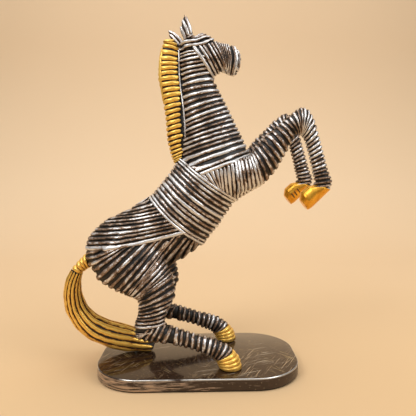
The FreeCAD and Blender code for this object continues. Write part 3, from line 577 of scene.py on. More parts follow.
# %% [markdown]
# ## Paths on the skin
# Each cord is a flattened tube on the skin. A cord's path is where a tilted plane meets the skin, as
# if a knife cut through the horse there, and rays in that plane find it. Neighbouring cords share
# the room between them. The rings of points are worked out here, because tubes whose width, height
# and lean change at every step are beyond the edit-mode tools.

# %% Paths on the skin
RAYS = 144
STEP = 1.1 * MM
FEWEST_POINTS = 6
TINY = 1e-9
draw = np.random.RandomState(7)


def guide(points, share):
    """The place at a share of a smooth line through side-view points."""
    points = np.array(points, float)
    spot = share * (len(points) - 1)
    first = min(int(spot), len(points) - 2)
    inner = spot - first
    places = [max(first - 1, 0), first, first + 1, min(first + 2, len(points) - 1)]
    before, start, end, after = points[places]
    pull, push = (end - before) / 2, (after - start) / 2
    return (start * (1 + 2 * inner) * (1 - inner) ** 2 + end * inner ** 2 * (3 - 2 * inner)
            + pull * inner * (1 - inner) ** 2 + push * inner ** 2 * (inner - 1))


def cast(origin, heading):
    """Where a ray first meets the skin: its place, the skin's normal and whether it met."""
    place, normal, _, _ = skin.ray_cast(Vector(origin), Vector(heading))
    if place is None:
        return np.array(origin), np.array((0.0, 0.0, 1.0)), False
    return np.array(place), np.array(normal), True


def plane_ring(rear, front, middle_y, bow):
    """Where the plane through two side-view points, and across the horse, meets the skin."""
    rear, front = (np.array((point[0], middle_y, point[1])) * MM for point in (rear, front))
    middle = (rear + front) / 2
    along = (front - rear) / np.linalg.norm(front - rear)
    square = np.array((-along[2], 0, along[0]))
    hits = []
    for turn in np.linspace(0, 2 * math.pi, RAYS, endpoint=False):
        outward = along * math.cos(turn) + np.array((0, -math.sin(turn), 0))
        place, normal, met = cast(middle, outward)
        if met and bow:
            moved = Vector(place + square * (bow * MM * math.sin(turn) ** 2))
            place, normal, _, _ = skin.find_nearest(moved)
        hits.append((*place, *normal, met))
    hits = np.array(hits)
    return hits[:, :3], hits[:, 3:6], hits[:, 6] > 0, middle, along


def unbroken_runs(kept):
    """The runs of yes in a ring of yes and no, the longest first."""
    if kept.all():
        return [np.arange(len(kept))]
    start = int(np.argmin(kept))
    changes = np.diff(np.concatenate([np.roll(kept, -start), [False]]).astype(int))
    runs = [(np.arange(first + 1, last + 1) + start) % len(kept)
            for first, last in zip(np.flatnonzero(changes == 1), np.flatnonzero(changes == -1))]
    return sorted(runs, key=len, reverse=True)


def even_steps(channels, closed):
    """Walks a path in even steps. The first three channels are its places."""
    if closed:
        channels = np.vstack([channels, channels[:1]])
    gaps = np.linalg.norm(np.diff(channels[:, :3], axis=0), axis=1)
    reached = np.concatenate([[0], np.cumsum(gaps)])
    count = max(int(reached[-1] / STEP), FEWEST_POINTS)
    marks = np.linspace(0, reached[-1], count, endpoint=not closed)
    return np.stack([np.interp(marks, reached, channel) for channel in channels.T], 1), reached[-1]


def neighbours(values, closed):
    """The value before and after each one. The ends of an open row are their own neighbours."""
    before, after = np.roll(values, 1, 0), np.roll(values, -1, 0)
    if not closed:
        before[0], after[-1] = values[0], values[-1]
    return before, after


def smoothed(values, closed, rounds):
    """Each value drawn towards its neighbours, a few times over."""
    for _ in range(rounds):
        before, after = neighbours(values, closed)
        values = values / 2 + (before + after) / 4
    return values


def unit(rows):
    """Each row brought to a length of one."""
    return rows / np.maximum(np.linalg.norm(rows, axis=1), TINY)[:, None]


def room_beside(places, below, above, steps):
    """How far apart the neighbours of a path lie, less what they are shifted along it."""
    before, after = neighbours(places, True)
    heading = unit(after - before)
    gap = above - below
    gap = gap - heading * (gap * heading).sum(1)[:, None]
    return np.linalg.norm(gap, axis=1) / steps


print("the skin is ready for", RAYS, "rays a ring")

# %% [markdown]
# ## Sweeping a cord
# A cord lies with its top at the level of the skin. Its width, its height and its lean wander a
# little, as hand-wound cord does, and open ends taper and close. Bold cords stand proud. Each cord
# also takes its own share of paint, its tone, so that some stay darker, as on the real figure.

# %% Swept cords
CORD_CREST = 0.15 * MM
# The angles of the points round a cord lie closer together near its crest, where the paint is.
PROFILE = np.radians([-30, 6, 30, 52, 72, 90, 108, 128, 150, 174, 210, 270])
SQUARENESS = 0.92
WIDE, HIGH = (np.sign(wave) * np.abs(wave) ** SQUARENESS
              for wave in (np.cos(PROFILE), np.sin(PROFILE)))
PATH_ROUNDS = 3
SEEDS, TONES = (0, 1000), (0.3, 1)
SLOW_WAVE, QUICK_WAVE, QUICK_SHARE = 0.16 / MM, 0.45 / MM, 0.6
WIDTH_WANDER, HEIGHT_WANDER, LEAN_WANDER = 0.13, 0.16, 0.14
SEAM_STEPS = 6
END_TAPER = 3.0 * MM
END_SHARE = 0.15
STREAKS_ROUND = 5
STREAK_SHIFT = 3


def new_weave():
    """An empty store for the cords of one piece."""
    return {"places": [], "faces": [], "crest": [], "tone": [], "uv": [], "length": 0.0}


def wander(marks, seed):
    """Slow random waves along a cord, as columns of width, height and lean."""
    return np.array([[noise.noise(Vector((mark * SLOW_WAVE, seed, row)))
                      + QUICK_SHARE * noise.noise(Vector((mark * QUICK_WAVE, seed, row + 9)))
                      for row in range(3)] for mark in marks])


def add_tube(weave, rings, tone, length, shift, closed):
    """Joins rings of points to a tube, with what the paint reads: crest, tone and a walk as UV."""
    count, sides = rings.shape[:2]
    base = len(weave["crest"])
    weave["places"].extend(rings.reshape(-1, 3).tolist())
    weave["crest"].extend(np.tile(np.clip(np.sin(PROFILE), 0, 1), count).tolist())
    weave["tone"].extend([tone] * (count * sides))
    for ring in range(count if closed else count - 1):
        following = (ring + 1) % count
        near, far = ((shift + place * length / count) * STREAKS_PER_METRE
                     for place in (ring, ring + 1))
        for side in range(sides):
            turn = (side + 1) % sides
            weave["faces"].append((base + ring * sides + side, base + following * sides + side,
                                   base + following * sides + turn, base + ring * sides + turn))
            low, up = side / sides * STREAKS_ROUND, (side + 1) / sides * STREAKS_ROUND
            weave["uv"].extend((near, low, far, low, far, up, near, up))
    if not closed:
        for ring in (0, count - 1):
            weave["faces"].append(tuple(base + ring * sides + side for side in range(sides)))
            weave["uv"].extend((shift, 0.0) * sides)
    weave["length"] += length


def lay_cord(weave, places, normals, half_width, half_height, closed, proud=0.0, tone=None,
             taper=END_TAPER):
    """Sweeps one flattened cord along a path on the skin and adds it to the weave."""
    channels = np.column_stack([places, normals, half_width, half_height])
    walked, length = even_steps(channels, closed)
    walked = smoothed(walked, closed, PATH_ROUNDS)
    places, normals = walked[:, :3], walked[:, 3:6]
    count, seed = len(places), draw.uniform(*SEEDS)
    tone = draw.uniform(*TONES) if tone is None else tone
    steps = np.arange(count)
    marks = steps * length / count
    wave = wander(marks, seed)
    if closed:
        wave *= np.clip(np.minimum(steps, count - steps) / SEAM_STEPS, 0, 1)[:, None]
    half_width = walked[:, 6] * (1 + WIDTH_WANDER * wave[:, 0])
    half_height = walked[:, 7] * (1 + HEIGHT_WANDER * wave[:, 1])
    if not closed:
        ends = np.clip(np.minimum(marks, marks[-1] - marks) / taper, 0.0, 1)
        ends = np.sqrt(1 - (1 - ends) ** 2) * (1 - END_SHARE) + END_SHARE
        half_width, half_height = half_width * ends, half_height * ends
    before, after = neighbours(places, closed)
    heading = unit(after - before)
    normals = unit(normals - heading * (normals * heading).sum(1)[:, None])
    across = np.cross(heading, normals)
    centre = places - normals * (half_height - CORD_CREST - proud * MM)[:, None]
    centre += across * (LEAN_WANDER * half_width * wave[:, 2])[:, None]
    rings = (centre[:, None, :] + across[:, None, :] * (half_width[:, None] * WIDE)[:, :, None]
             + normals[:, None, :] * (half_height[:, None] * HIGH)[:, :, None])
    add_tube(weave, rings, tone, length, seed * STREAK_SHIFT, closed)


print("cord profile has", len(PROFILE), "points")

# %% [markdown]
# ## Winding
# The maker of the real figure wound one piece after another, so a family of cords is wound in one
# call. It takes two lines of guide points in the side view: each cord's plane goes through one point
# of either line. What isn't wanted of a ring is cut away: beyond the guide ends, to the right of a
# border line, past the middle plane on a leg, or out of reach of its middle. On the trunk every
# unbroken run that is left becomes a cord, and on a leg only the longest.

# %% Winding
CORD_HALF_WIDTHS = (0.5 * MM, 2.6 * MM)
ROUNDNESS = 0.95
INNER_EDGE = 4.0 * MM


def part_way(pair, share):
    """The value at a share of the way from the first of a pair to the last."""
    return pair[0] + (pair[-1] - pair[0]) * share


def wind(weave, rear, front, count=None, side=0, middle_y=(0, 0), bow=0.0, borders=(), reach=None,
         fill=0.7, height=1.5, bold=None, tones=None, cut_rear=None, cut_front=None, within=None):
    """Lays a family of cords whose planes turn from the first pair of guide ends to the last.

    A side of -1 or 1 winds a leg round its middle, at middle_y. Bow bends the planes. Fill is the
    share of the room that a cord takes. By cord number, bold gives how much wider and prouder it
    is, and tones gives its share of paint. A larger cut keeps more beyond the guide end.
    """
    count = count or len(rear)
    shares = [number / (count - 1) for number in range(count)]
    rings = [plane_ring(guide(rear, share), guide(front, share), side * part_way(middle_y, share),
                        bow) for share in shares]
    for number, (places, normals, kept, middle, along) in enumerate(rings):
        share = shares[number]
        below, above = rings[max(number - 1, 0)][0], rings[min(number + 1, count - 1)][0]
        room = room_beside(places, below, above, 2 if 0 < number < count - 1 else 1)
        flat, flat_along = places[:, [0, 2]], along[[0, 2]]
        if cut_rear is not None:
            kept = kept & ((flat - guide(rear, share) * MM) @ flat_along > -cut_rear * MM)
        if cut_front is not None:
            kept = kept & ((flat - guide(front, share) * MM) @ flat_along < cut_front * MM)
        for tail_end, tip in borders:
            run, off = (np.array(tip) - tail_end) * MM, flat - np.array(tail_end) * MM
            kept = kept & (run[0] * off[:, 1] - run[1] * off[:, 0] > 0)
        if side:
            kept = kept & (places[:, 1] * side > INNER_EDGE)
        if within:
            kept = kept & (np.abs(places[:, 1]) < within * MM)
        if reach:
            kept = kept & (np.linalg.norm(places - middle, axis=1) < part_way(reach, share) * MM)
        widen, proud = (bold or {}).get(number, (1.0, 0.0))
        for picked in unbroken_runs(kept)[:1 if side else None]:
            if len(picked) < FEWEST_POINTS:
                continue
            half_width = np.clip(room[picked] / 2 * fill * widen, *CORD_HALF_WIDTHS)
            half_height = np.minimum(half_width * ROUNDNESS, height * MM)
            lay_cord(weave, places[picked], normals[picked], half_width, half_height, kept.all(),
                     proud, (tones or {}).get(number))


print("a wound cord is", [round(2 * half / MM, 1) for half in CORD_HALF_WIDTHS], "mm wide")

# %% [markdown]
# ## Combing, tracing and rings
# Combing lays cords lengthwise round an axis, as in the tail. Tracing lays one cord along a line
# drawn in the side view, on the face of the skin that looks to one side. A ring goes round a
# spot that winding can't close, such as a nostril or the top of the rump.

# %% Combing, tracing and rings
STRAND_HALF_WIDTHS = (0.4 * MM, 3.2 * MM)
RAYS_PER_POINT = 8
STRAND_TAPER = 6 * MM
OUTSIDE = 200
RING_RAYS = 24
RING_HEIGHT = 0.8 * MM
RING_PROUD = 0.5


def comb(weave, axis, count, turn, twist, fill, height, steps):
    """Lays cords lengthwise round an axis of (forward, up, across) points."""
    shares = np.linspace(0, 1, steps)
    spine = np.array([guide(axis, share) for share in shares])[:, [0, 2, 1]] * MM
    forward = unit(np.gradient(spine, axis=0))
    lift = unit(np.cross(forward, (0.0, 1.0, 0.0)))
    beam = np.cross(forward, lift)
    lines = []
    for number in range(count):
        angles = 2 * math.pi * number / count + turn + twist * shares
        hits = [cast(place, up * math.cos(angle) + out * math.sin(angle))
                for place, up, out, angle in zip(spine, lift, beam, angles)]
        lines.append([np.array(part) for part in zip(*hits)])
    for number, (places, normals, met) in enumerate(lines):
        room = room_beside(places, lines[number - 1][0], lines[(number + 1) % count][0], 2)
        room[0], room[-1] = room[1], room[-2]
        half_width = np.clip(room / 2 * fill, *STRAND_HALF_WIDTHS)
        half_height = np.minimum(half_width * ROUNDNESS, height * MM)
        lay_cord(weave, places[met], normals[met], half_width[met], half_height[met],
                 closed=False, taper=STRAND_TAPER)


def trace(weave, points, side=-1, width=2.6, height=1.3, proud=0.0, tone=0.8, taper=END_TAPER,
          start=None, between=None, steps=None):
    """Lays one cord along a side-view line, on the face of the skin that looks to that side.

    Start is the y where its rays start, and between is the range of y in which a hit counts.
    """
    start = side * OUTSIDE if start is None else start
    low, high = between or sorted((-side, side * OUTSIDE))
    hits = []
    for share in np.linspace(0, 1, steps or RAYS_PER_POINT * len(points)):
        forward, up = guide(points, share)
        place, normal, met = cast(np.array((forward, start, up)) * MM, (0, -side, 0))
        if met and low < place[1] / MM < high:
            hits.append((*place, *normal))
    if len(hits) < FEWEST_POINTS:
        return
    hits = np.array(hits)
    lay_cord(weave, hits[:, :3], hits[:, 3:], np.full(len(hits), width / 2 * MM),
             np.full(len(hits), height * MM), closed=False, proud=proud, tone=tone, taper=taper)


def circle_round(weave, inside, aim, spread, width):
    """Lays one closed cord where a cone of rays from inside meets the skin."""
    inside, aim = (np.array(place) * MM for place in (inside, aim))
    forward = (aim - inside) / np.linalg.norm(aim - inside)
    level = np.cross(forward, (0, 0, 1.0))
    level /= np.linalg.norm(level)
    upright = np.cross(level, forward)
    hits = [cast(inside, forward + spread * (level * math.cos(turn) + upright * math.sin(turn)))
            for turn in np.linspace(0, 2 * math.pi, RING_RAYS, endpoint=False)]
    places, normals, _ = (np.array(part) for part in zip(*hits))
    lay_cord(weave, places, normals, np.full(RING_RAYS, width / 2 * MM),
             np.full(RING_RAYS, RING_HEIGHT), closed=True, proud=RING_PROUD, tone=1.0)


def finish_weave(weave, name, nodes, material=SILVER):
    """Turns a weave into one piece that rides on the ornament and stands for its nodes."""
    mesh = bpy.data.meshes.new(name)
    mesh.from_pydata(weave["places"], [], weave["faces"])
    for key in ("crest", "tone"):
        mesh.attributes.new(key, "FLOAT", "POINT").data.foreach_set("value", weave[key])
    mesh.uv_layers.new(name="cord").data.foreach_set("uv", weave["uv"])
    piece = bpy.data.objects.new(name, mesh)
    bpy.context.collection.objects.link(piece)
    bpy.ops.object.select_all(action="DESELECT")
    piece.select_set(True)
    bpy.context.view_layer.objects.active = piece
    bpy.ops.object.mode_set(mode="EDIT")
    face_outwards()
    bpy.ops.object.shade_smooth()
    mesh.materials.append(material)
    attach(piece, "root")
    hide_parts(*nodes)
    print(name, "cord", round(weave["length"] / MM), "mm in", len(mesh.polygons), "faces")


print("combing, tracing and rings are ready")

# %% [markdown]
# ## The girth band
# On the real figure a broad band is wound round the barrel, over everything beside it. Its first
# and last turns are thicker and stand proud. Each turn is a ring that leans with the trunk, so one
# line of guide points runs up the back and one up the belly. The border lines of the band are named
# here, because the cords beside it stop there.

# %% Girth band
BAND_BACK = [(-37.5, 141), (-31.5, 148), (-25, 156), (-18, 164.5), (-12.5, 170)]
BAND_BELLY = [(7, 101), (14, 109), (21, 118), (28, 127.5), (33.5, 136.5)]
BAND_REAR_BORDER = ((-37, 141.5), (6, 101.5))
BAND_FRONT_BORDER = ((-14, 169.5), (31.5, 134.5))
BAND_TOP_BORDER = ((-12, 172), (-18.5, 166.5))
band = new_weave()
wind(band, BAND_BACK, BAND_BELLY, 13, bow=-2, height=1.7, fill=0.8, borders=[BAND_TOP_BORDER],
     bold={0: (1.15, 0.5), 5: (1.1, 0.3), 8: (0.8, 0.0), 12: (1.15, 0.7)},
     tones={0: 0.9, 2: 0.2, 5: 0.9, 6: 0.1, 9: 0.2, 12: 1.0})
finish_weave(band, "girth_band_cords", ["barrel"])

# %% [markdown]
# ## The neck
# The neck is wound from the withers to the cheek. Its turns lie level at the top and lean forward
# and up at the foot, where the lowest turn is thick and covers the ends of the breast cords. Rings
# alone would leave a bare shelf beside the foot, so one more cord is traced there on either side.

# %% Neck
NECK_REAR = [(-3, 155.9), (-9.5, 169.8), (-8.3, 182), (-7.6, 192.5), (-9.2, 203.6), (-10.5, 218.4),
             (-13.8, 232.0), (-13.7, 243), (-13.5, 252.1)]
NECK_FRONT = [(42.4, 173.3), (35.2, 184.3), (31, 193.8), (27.1, 204.3), (23, 214.7), (16, 223.8),
              (8.3, 236.3), (5.2, 245.2), (-1, 253)]
SHELF_CORD = [(-4, 164.0), (0, 163.2), (4, 163.2), (9, 165.4)]
neck = new_weave()
wind(neck, NECK_REAR, NECK_FRONT, 25, cut_rear=3.0, cut_front=5.0, reach=(44, 44), fill=0.66,
     borders=[BAND_FRONT_BORDER], bold={0: (1.0, 0.5)},
     tones={0: 1.0, 4: 0.05} | {number: 0.1 + 0.7 * (number % 2) for number in range(7, 18)})
for side, _ in SIDES:
    trace(neck, SHELF_CORD, side=side, width=3.6, height=1.6, tone=0.5)
finish_weave(neck, "neck_cords", ["neck"])

# %% [markdown]
# ## Rump
# Cords sweep back from the girth band over the croup and round the rump. The brush passed lightly
# here and on the legs, so the tones of their cords repeat three low values: the worn tones. Three
# rings close the top, where the sweep leaves a gap, and short cords fill the flank behind the band.

# %% Rump
WORN_TONES = {number: 0.2 * (number % 3) for number in range(30)}
CROUP_REAR = [(-50, 133), (-56, 130.6), (-60.6, 127.8), (-65.4, 125.1), (-69.5, 122.4),
              (-73.7, 119), (-77.2, 114.9), (-79.4, 110.8), (-81.2, 106.6), (-82.4, 101.8)]
CROUP_FRONT = [(-38, 142), (-36.5, 138), (-35.2, 134.4), (-31.9, 131.6), (-29.9, 128.8),
               (-26.5, 126.1), (-23.2, 122.6), (-21.2, 119.8), (-19.1, 117), (-13.7, 113.5)]
CROUP_BORDER = ((-11, 114.5), (-84, 101))
BELLY_LOWER = [(-33, 91), (-29.3, 91.5), (-23.1, 91), (-16.1, 91.8), (-9.2, 93), (-2.2, 97),
               (4, 100)]
BELLY_UPPER = [(-16, 112), (-13.5, 110.6), (-8.8, 108.5), (-5.4, 107.1), (-2.1, 106.4),
               (0.6, 105.7), (6, 103)]
RUMP_TOP = ((-35, 0, 125.5), (-44.6, 0, 138.3))
croup = new_weave()
wind(croup, CROUP_REAR, CROUP_FRONT, 12, bow=-2, height=1.5, fill=0.74,
     borders=[BAND_REAR_BORDER[::-1]], bold={11: (1.2, 0.6)}, tones=WORN_TONES | {11: 0.9})
for spread in (0.09, 0.23, 0.37):
    circle_round(croup, *RUMP_TOP, spread, width=2.2)
wind(croup, BELLY_LOWER, BELLY_UPPER, cut_front=3.0, height=1.2,
     tones={0: 0.2, 1: 0.1, 2: 0.3, 3: 0.0, 4: 0.2, 5: 0.1, 6: 0.0})
finish_weave(croup, "rump_cords", ["hindquarters"])

# %% [markdown]
# ## Thighs
# The thigh is wound square to its own length, from the tail root down to the back of the knee. Both
# thighs come from the same guide points, mirrored, because the horse stands nearly even.

# %% Thighs
THIGH_REAR = [(-82.8, 98.4), (-81.7, 94.6), (-81.2, 89.8), (-78.6, 85.7), (-74.7, 80.9), (-70.1, 76),
              (-65.4, 73.2), (-60.8, 70.4), (-57.4, 68.3), (-54.1, 67.5), (-49.3, 67.5),
              (-45.3, 67.4), (-44.9, 66.8), (-44.6, 66.2)]
THIGH_FRONT = [(-74.5, 101.5), (-69.5, 99.3), (-62.8, 99.9), (-57.4, 100.5), (-51.3, 101.1),
               (-43.2, 101.7), (-34, 104.7), (-28.3, 107), (-20.2, 108.9), (-13.4, 108),
               (-18.5, 97.3), (-19.9, 91.4), (-18.3, 88), (-17.6, 84.8)]
for side, name in SIDES:
    thigh = new_weave()
    wind(thigh, THIGH_REAR, THIGH_FRONT, side=side, middle_y=(14, 24), height=1.6, fill=0.72,
         borders=[CROUP_BORDER], cut_front=22.0, tones=WORN_TONES)
    finish_weave(thigh, name + "_thigh_cords", [name + "_thigh"])

# %% [markdown]
# ## Hind legs
# The gaskin's turns swing level towards the hock. The shank is wound square to its own length, like
# a spring, from the hock to the gold hoof, and the hoof ends in thick gold coils. On the far leg two
# cords in three are darker: the far tones.

# %% Guide points of the hind legs
FAR_TONES = {number: 0.1 + 0.3 * (number % 3 == 0) for number in range(30)}
GASKIN_REAR = [(-44.3, 65.5), (-43.1, 62.3), (-43.2, 58.5), (-43.2, 56), (-43.3, 52.8),
               (-44.6, 50.3), (-45.9, 47.7), (-46.6, 44.6), (-47.3, 40.8)]
GASKIN_FRONT = [(-18, 81.5), (-16.9, 75.9), (-15.1, 70.7), (-17.7, 63.2), (-19.6, 59.5),
                (-22.2, 53.8), (-24.7, 50), (-25.4, 46.5), (-27, 42)]
HOCK_TOP = [(-27.5, 42), (-29.5, 42.8), (-33, 43)]
HOCK_HEEL = [(-48, 39.3), (-48, 37.2), (-46.2, 35.9)]
SHANK_TOP = [(-37.4, 42.2), (-32.4, 42.8), (-27.4, 43.3), (-21.8, 42), (-15.4, 42.3),
             (-10.2, 40.1), (-4.9, 38.4), (0.4, 36.6), (5.7, 34.9), (11, 32.7), (15.2, 29.9),
             (19.5, 27.1), (23.7, 24.9)]
SHANK_LOWER = [(-43.8, 35.2), (-38.8, 32.6), (-33.8, 31.9), (-28.2, 30.5), (-16.7, 29.3),
               (-12.4, 27.6), (-7.1, 25.9), (-1.3, 24.7), (3.5, 23), (7.7, 21.3), (10.9, 20.1),
               (13.6, 18.4), (14.6, 17.9)]
COIL_FRONT = [(28, 22.8), (31, 20), (33.2, 16.8), (34.1, 13.4), (34.2, 11)]
COIL_REAR = [(15.0, 17.8), (14.6, 15.6), (14.4, 13.6), (14.4, 11.9), (14.6, 10.6)]
print("shank guides", len(SHANK_TOP), "and", len(SHANK_LOWER))

# %% Hind legs
for side, name in SIDES:
    gaskin = new_weave()
    wind(gaskin, GASKIN_REAR, GASKIN_FRONT, 10, side=side, middle_y=(26, 29), height=1.4,
         reach=(26, 20), bold={7: (1.1, 0.3)}, borders=[((-50, 41.5), (-22, 41.5))],
         tones=WORN_TONES)
    finish_weave(gaskin, name + "_gaskin_cords", [name + "_gaskin"])
    shank = new_weave()
    wind(shank, HOCK_TOP, HOCK_HEEL, side=side, middle_y=(28, 29), cut_rear=-5.0, reach=(22, 18),
         tones=WORN_TONES)
    wind(shank, SHANK_TOP, SHANK_LOWER, 16, side=side, middle_y=(29, 30), reach=(16, 13),
         cut_rear=3.0, tones=FAR_TONES if side > 0 else WORN_TONES, height=1.3)
    finish_weave(shank, name + "_shank_cords", [name + "_shank"])
    coils = new_weave()
    wind(coils, COIL_REAR, COIL_FRONT, side=side, middle_y=(30, 30), reach=(16, 16), height=1.8,
         fill=1.1, tones={0: 0.9, 1: 0.8, 2: 0.9, 3: 1.0, 4: 0.8})
    finish_weave(coils, name + "_hind_hoof_coils", [name + "_hind_hoof"], GOLD)

# %% [markdown]
# ## Breast
# Cords fan out from under the neck over the breast, so one short line of guide points lies under
# the neck and a longer one between the forelegs. The front of the breast, between the legs, is wound
# level instead: a fan would leave it bare.

# %% Breast
BREAST_UPPER = [(5.7, 156.9), (10.4, 157.4), (14.4, 158.5), (18.5, 159.1), (22, 160.2),
                (25.5, 161.9), (29.5, 163.6), (32.4, 165.3), (35.4, 166.5), (38.8, 168.2),
                (41.2, 169.3), (43.5, 170.4)]
BREAST_LOWER = [(16.1, 145.2), (17.3, 145.2), (19, 145.2), (20.7, 143.4), (24.2, 141.1),
                (28.3, 140.4), (31.8, 139), (35.9, 139), (39.4, 139.5), (43.5, 140.5),
                (48.1, 143), (52.2, 145.5)]
LEVEL_REAR, LEVEL_FRONT = [(20, 175), (20, 141)], [(50, 177), (50, 140)]
chest = new_weave()
wind(chest, BREAST_UPPER, BREAST_LOWER, 15, cut_rear=5.0, height=1.5, fill=0.98,
     borders=[BAND_FRONT_BORDER])
wind(chest, LEVEL_REAR, LEVEL_FRONT, 10, cut_rear=-24.5, within=14, height=1.5, fill=0.8)
finish_weave(chest, "breast_cords", ["chest"])

# %% [markdown]
# ## Forelegs
# The cords turn with the forearm, crowd together in the bend of the knee and run on down the
# cannon. The far leg is held a little further back and higher, so its guide points are shifted.

# %% Forelegs
FOREARM_UPPER = [(44.4, 170.2), (45.1, 172.9), (47.8, 175.5), (49.8, 178.9), (51.8, 182.2),
                 (55.1, 185.5), (58.5, 188.8), (61.8, 192.1), (64.5, 194.7), (67.2, 197.3),
                 (69.9, 199.9), (73.2, 203.2), (75.8, 205.8)]
FOREARM_LOWER = [(52.5, 147), (55.9, 151.4), (59.9, 156.7), (62.6, 162.1), (65.3, 167.1),
                 (67.3, 171.7), (69.3, 176.1), (72, 181), (74, 184.8), (76, 187.3),
                 (77.3, 188.6), (78, 190), (78.6, 190.6)]
CANNON_FRONT = [(78.9, 207.1), (82.2, 206.1), (85.6, 203.1), (87.6, 199.2), (89.3, 194.5),
                (91.1, 189.9), (92.5, 185.9), (93.5, 181.9), (94.6, 178.2), (95.6, 174.5),
                (96.7, 170.5), (97.6, 166.8), (98.4, 163.1), (99.3, 159.8), (100.9, 156.4),
                (103.2, 153), (103.5, 149.6), (101.7, 146.2)]
CANNON_BACK = [(79.3, 190.6), (80, 190.3), (80.7, 189.3), (81, 187.3), (81.7, 184.6),
               (82.4, 181.3), (83.1, 178.3), (83.8, 175.3), (84.5, 171.9), (85.3, 168.6),
               (86.1, 165.6), (86.8, 162.5), (87.5, 159.8), (88.1, 157.2), (88.6, 154.5),
               (88.9, 151.0), (90, 148.2), (92.5, 146.3)]
FAR_SHIFT = (-5.5, 1.0)
for side, name in SIDES:
    shift = np.array(FAR_SHIFT if side > 0 else (0, 0))
    forearm = new_weave()
    wind(forearm, np.array(FOREARM_UPPER) + shift * 0.5, np.array(FOREARM_LOWER) + shift * 0.5,
         side=side, middle_y=(17, 22), reach=(22, 22), height=1.3, tones=WORN_TONES)
    finish_weave(forearm, name + "_forearm_cords", [name + "_forearm"])
    cannon = new_weave()
    wind(cannon, np.array(CANNON_FRONT) + shift, np.array(CANNON_BACK) + shift, 20, side=side,
         middle_y=(22, 22), reach=(14, 14), height=1.2, tones=FAR_TONES if side > 0 else None)
    finish_weave(cannon, name + "_cannon_cords", [name + "_fore_cannon"])

# %% [markdown]
# ## Head
# The neck's winding gives way to cords that lie like a halter: two run forward from the poll over
# the brow, and six cross the cheek and go round under the jaw. Those of the cheek are wound. Those
# of the poll and the brow follow no plane, so they are traced, and two rings close the poll.

# %% Head
POLL = [[(-13.5, 259.1), (-5.5, 260.2), (1.5, 261.5), (6.0, 263.6), (12.1, 265.3)],
        [(-13.1, 255.9), (-4.7, 257.1), (1.9, 258.0), (5.9, 258.5), (10.8, 261.0), (14.8, 263.6)]]
CHEEK_REAR = [(-1.2, 256.4), (3.2, 257.6), (6.3, 258.0), (10.0, 258.8), (12.7, 260.0),
              (15.6, 261.4)]
CHEEK_FRONT = [(14.1, 234.6), (16.4, 236.8), (18.2, 238.6), (20.6, 241.5), (22.0, 243.8),
               (22.4, 246.0)]
BROW_REAR = [(-0.5, 267.5), (-2.0, 265.6), (-2.0, 263.4)]
BROW_FRONT = [(4.0, 269.5), (9.0, 268.6), (14.2, 266.6)]
BROW_STRANDS = [[(-6.5, 262.4), (-2.8, 264.0), (0.5, 266.6)],
                [(-3.2, 262.6), (0.8, 264.2), (4.5, 267.6)],
                [(0.8, 263.2), (5.0, 265.4), (8.8, 267.6)],
                [(10.5, 262.6), (13.5, 263.4), (16, 264.6)]]
FORELOCK_KNOTS = np.array([(-5.6, 266.0), (-3.7, 264.8), (-2.0, 265.4), (-8.0, 263.0)])
KNOT_HALF = np.array((0.9, 0.5))
POLL_TOP = ((-5.5, 0, 256), (-5, 0, 270))
head = new_weave()
wind(head, BROW_REAR, BROW_FRONT, 4, cut_rear=-2.0, height=1.2, fill=0.8, tones=WORN_TONES)
wind(head, CHEEK_REAR, CHEEK_FRONT, cut_rear=0.5, height=1.4, fill=0.76, bold={0: (1.0, 0.5)},
     tones={0: 0.9, 1: 0.5, 2: 0.3, 3: 0.6, 4: 0.3, 5: 0.5})
for side, _ in SIDES:
    for points in POLL:
        trace(head, points, side=side, width=2.7, height=1.5, proud=0.3, tone=0.8)
    for points in BROW_STRANDS:
        trace(head, points, side=side, width=1.9, height=1.2, proud=0.3, tone=0.4)
    for knot in FORELOCK_KNOTS:
        trace(head, [knot - KNOT_HALF, knot, knot + KNOT_HALF], side=side, width=1.8, height=1.0,
              tone=0.9)
for spread in (0.12, 0.38):
    circle_round(head, *POLL_TOP, spread, width=1.9)
finish_weave(head, "head_cords", ["head"])

# %% [markdown]
# ## Muzzle
# Six rings narrow the muzzle, and then come a dark groove and a bold ring. Two thin rings close the
# tip, five short level cords fill its front, and two lie under the lip. All of them are wound, as
# on the real figure, and each nostril is a small ring of its own.

# %% Muzzle
MUZZLE_TOP = [(17.4, 261.5), (19.4, 261.6), (21.6, 261.8), (23.8, 261.3), (26.0, 260.6)]
MUZZLE_LOWER = [(21.9, 241.0), (22.6, 239.0), (23.6, 237.0), (25.2, 235.8), (27.0, 235.0)]
GROOVE_TOP, GROOVE_LOWER = [(29.6, 260.0), (31.4, 258.8)], [(28.6, 234.6), (30.2, 234.2)]
TIP_TOP, TIP_LOWER = [(33.4, 257.6), (34.6, 256.4)], [(34.4, 240.5), (35.4, 241.5)]
FACE_REAR, FACE_FRONT = [(20, 254.5), (20, 243.5)], [(37, 254), (37, 243.5)]
LIP_REAR, LIP_FRONT = [(31.0, 241.2), (30.0, 237.6)], [(36.2, 239.4), (34.6, 235.2)]
NOSTRIL = np.array(((26, 1, 250), (34, 6.2, 253.6)))
muzzle = new_weave()
wind(muzzle, MUZZLE_TOP, MUZZLE_LOWER, 6, bow=1.5, height=1.1, fill=0.8,
     tones={number: 0.25 for number in range(6)})
wind(muzzle, GROOVE_TOP, GROOVE_LOWER, bow=2.5, height=1.5, fill=1.1, bold={1: (1.1, 0.5)},
     tones={0: 0.0, 1: 1.0})
wind(muzzle, TIP_TOP, TIP_LOWER, bow=1, height=1.0, tones={0: 0.2, 1: 0.6})
wind(muzzle, FACE_REAR, FACE_FRONT, 5, cut_rear=-15.2, height=1.0)
for side, _ in SIDES:
    circle_round(muzzle, *(NOSTRIL * (1, side, 1)), spread=0.22, width=1.5)
wind(muzzle, LIP_REAR, LIP_FRONT, cut_rear=0.0, height=1.0, tones={0: 0.9, 1: 0.7})
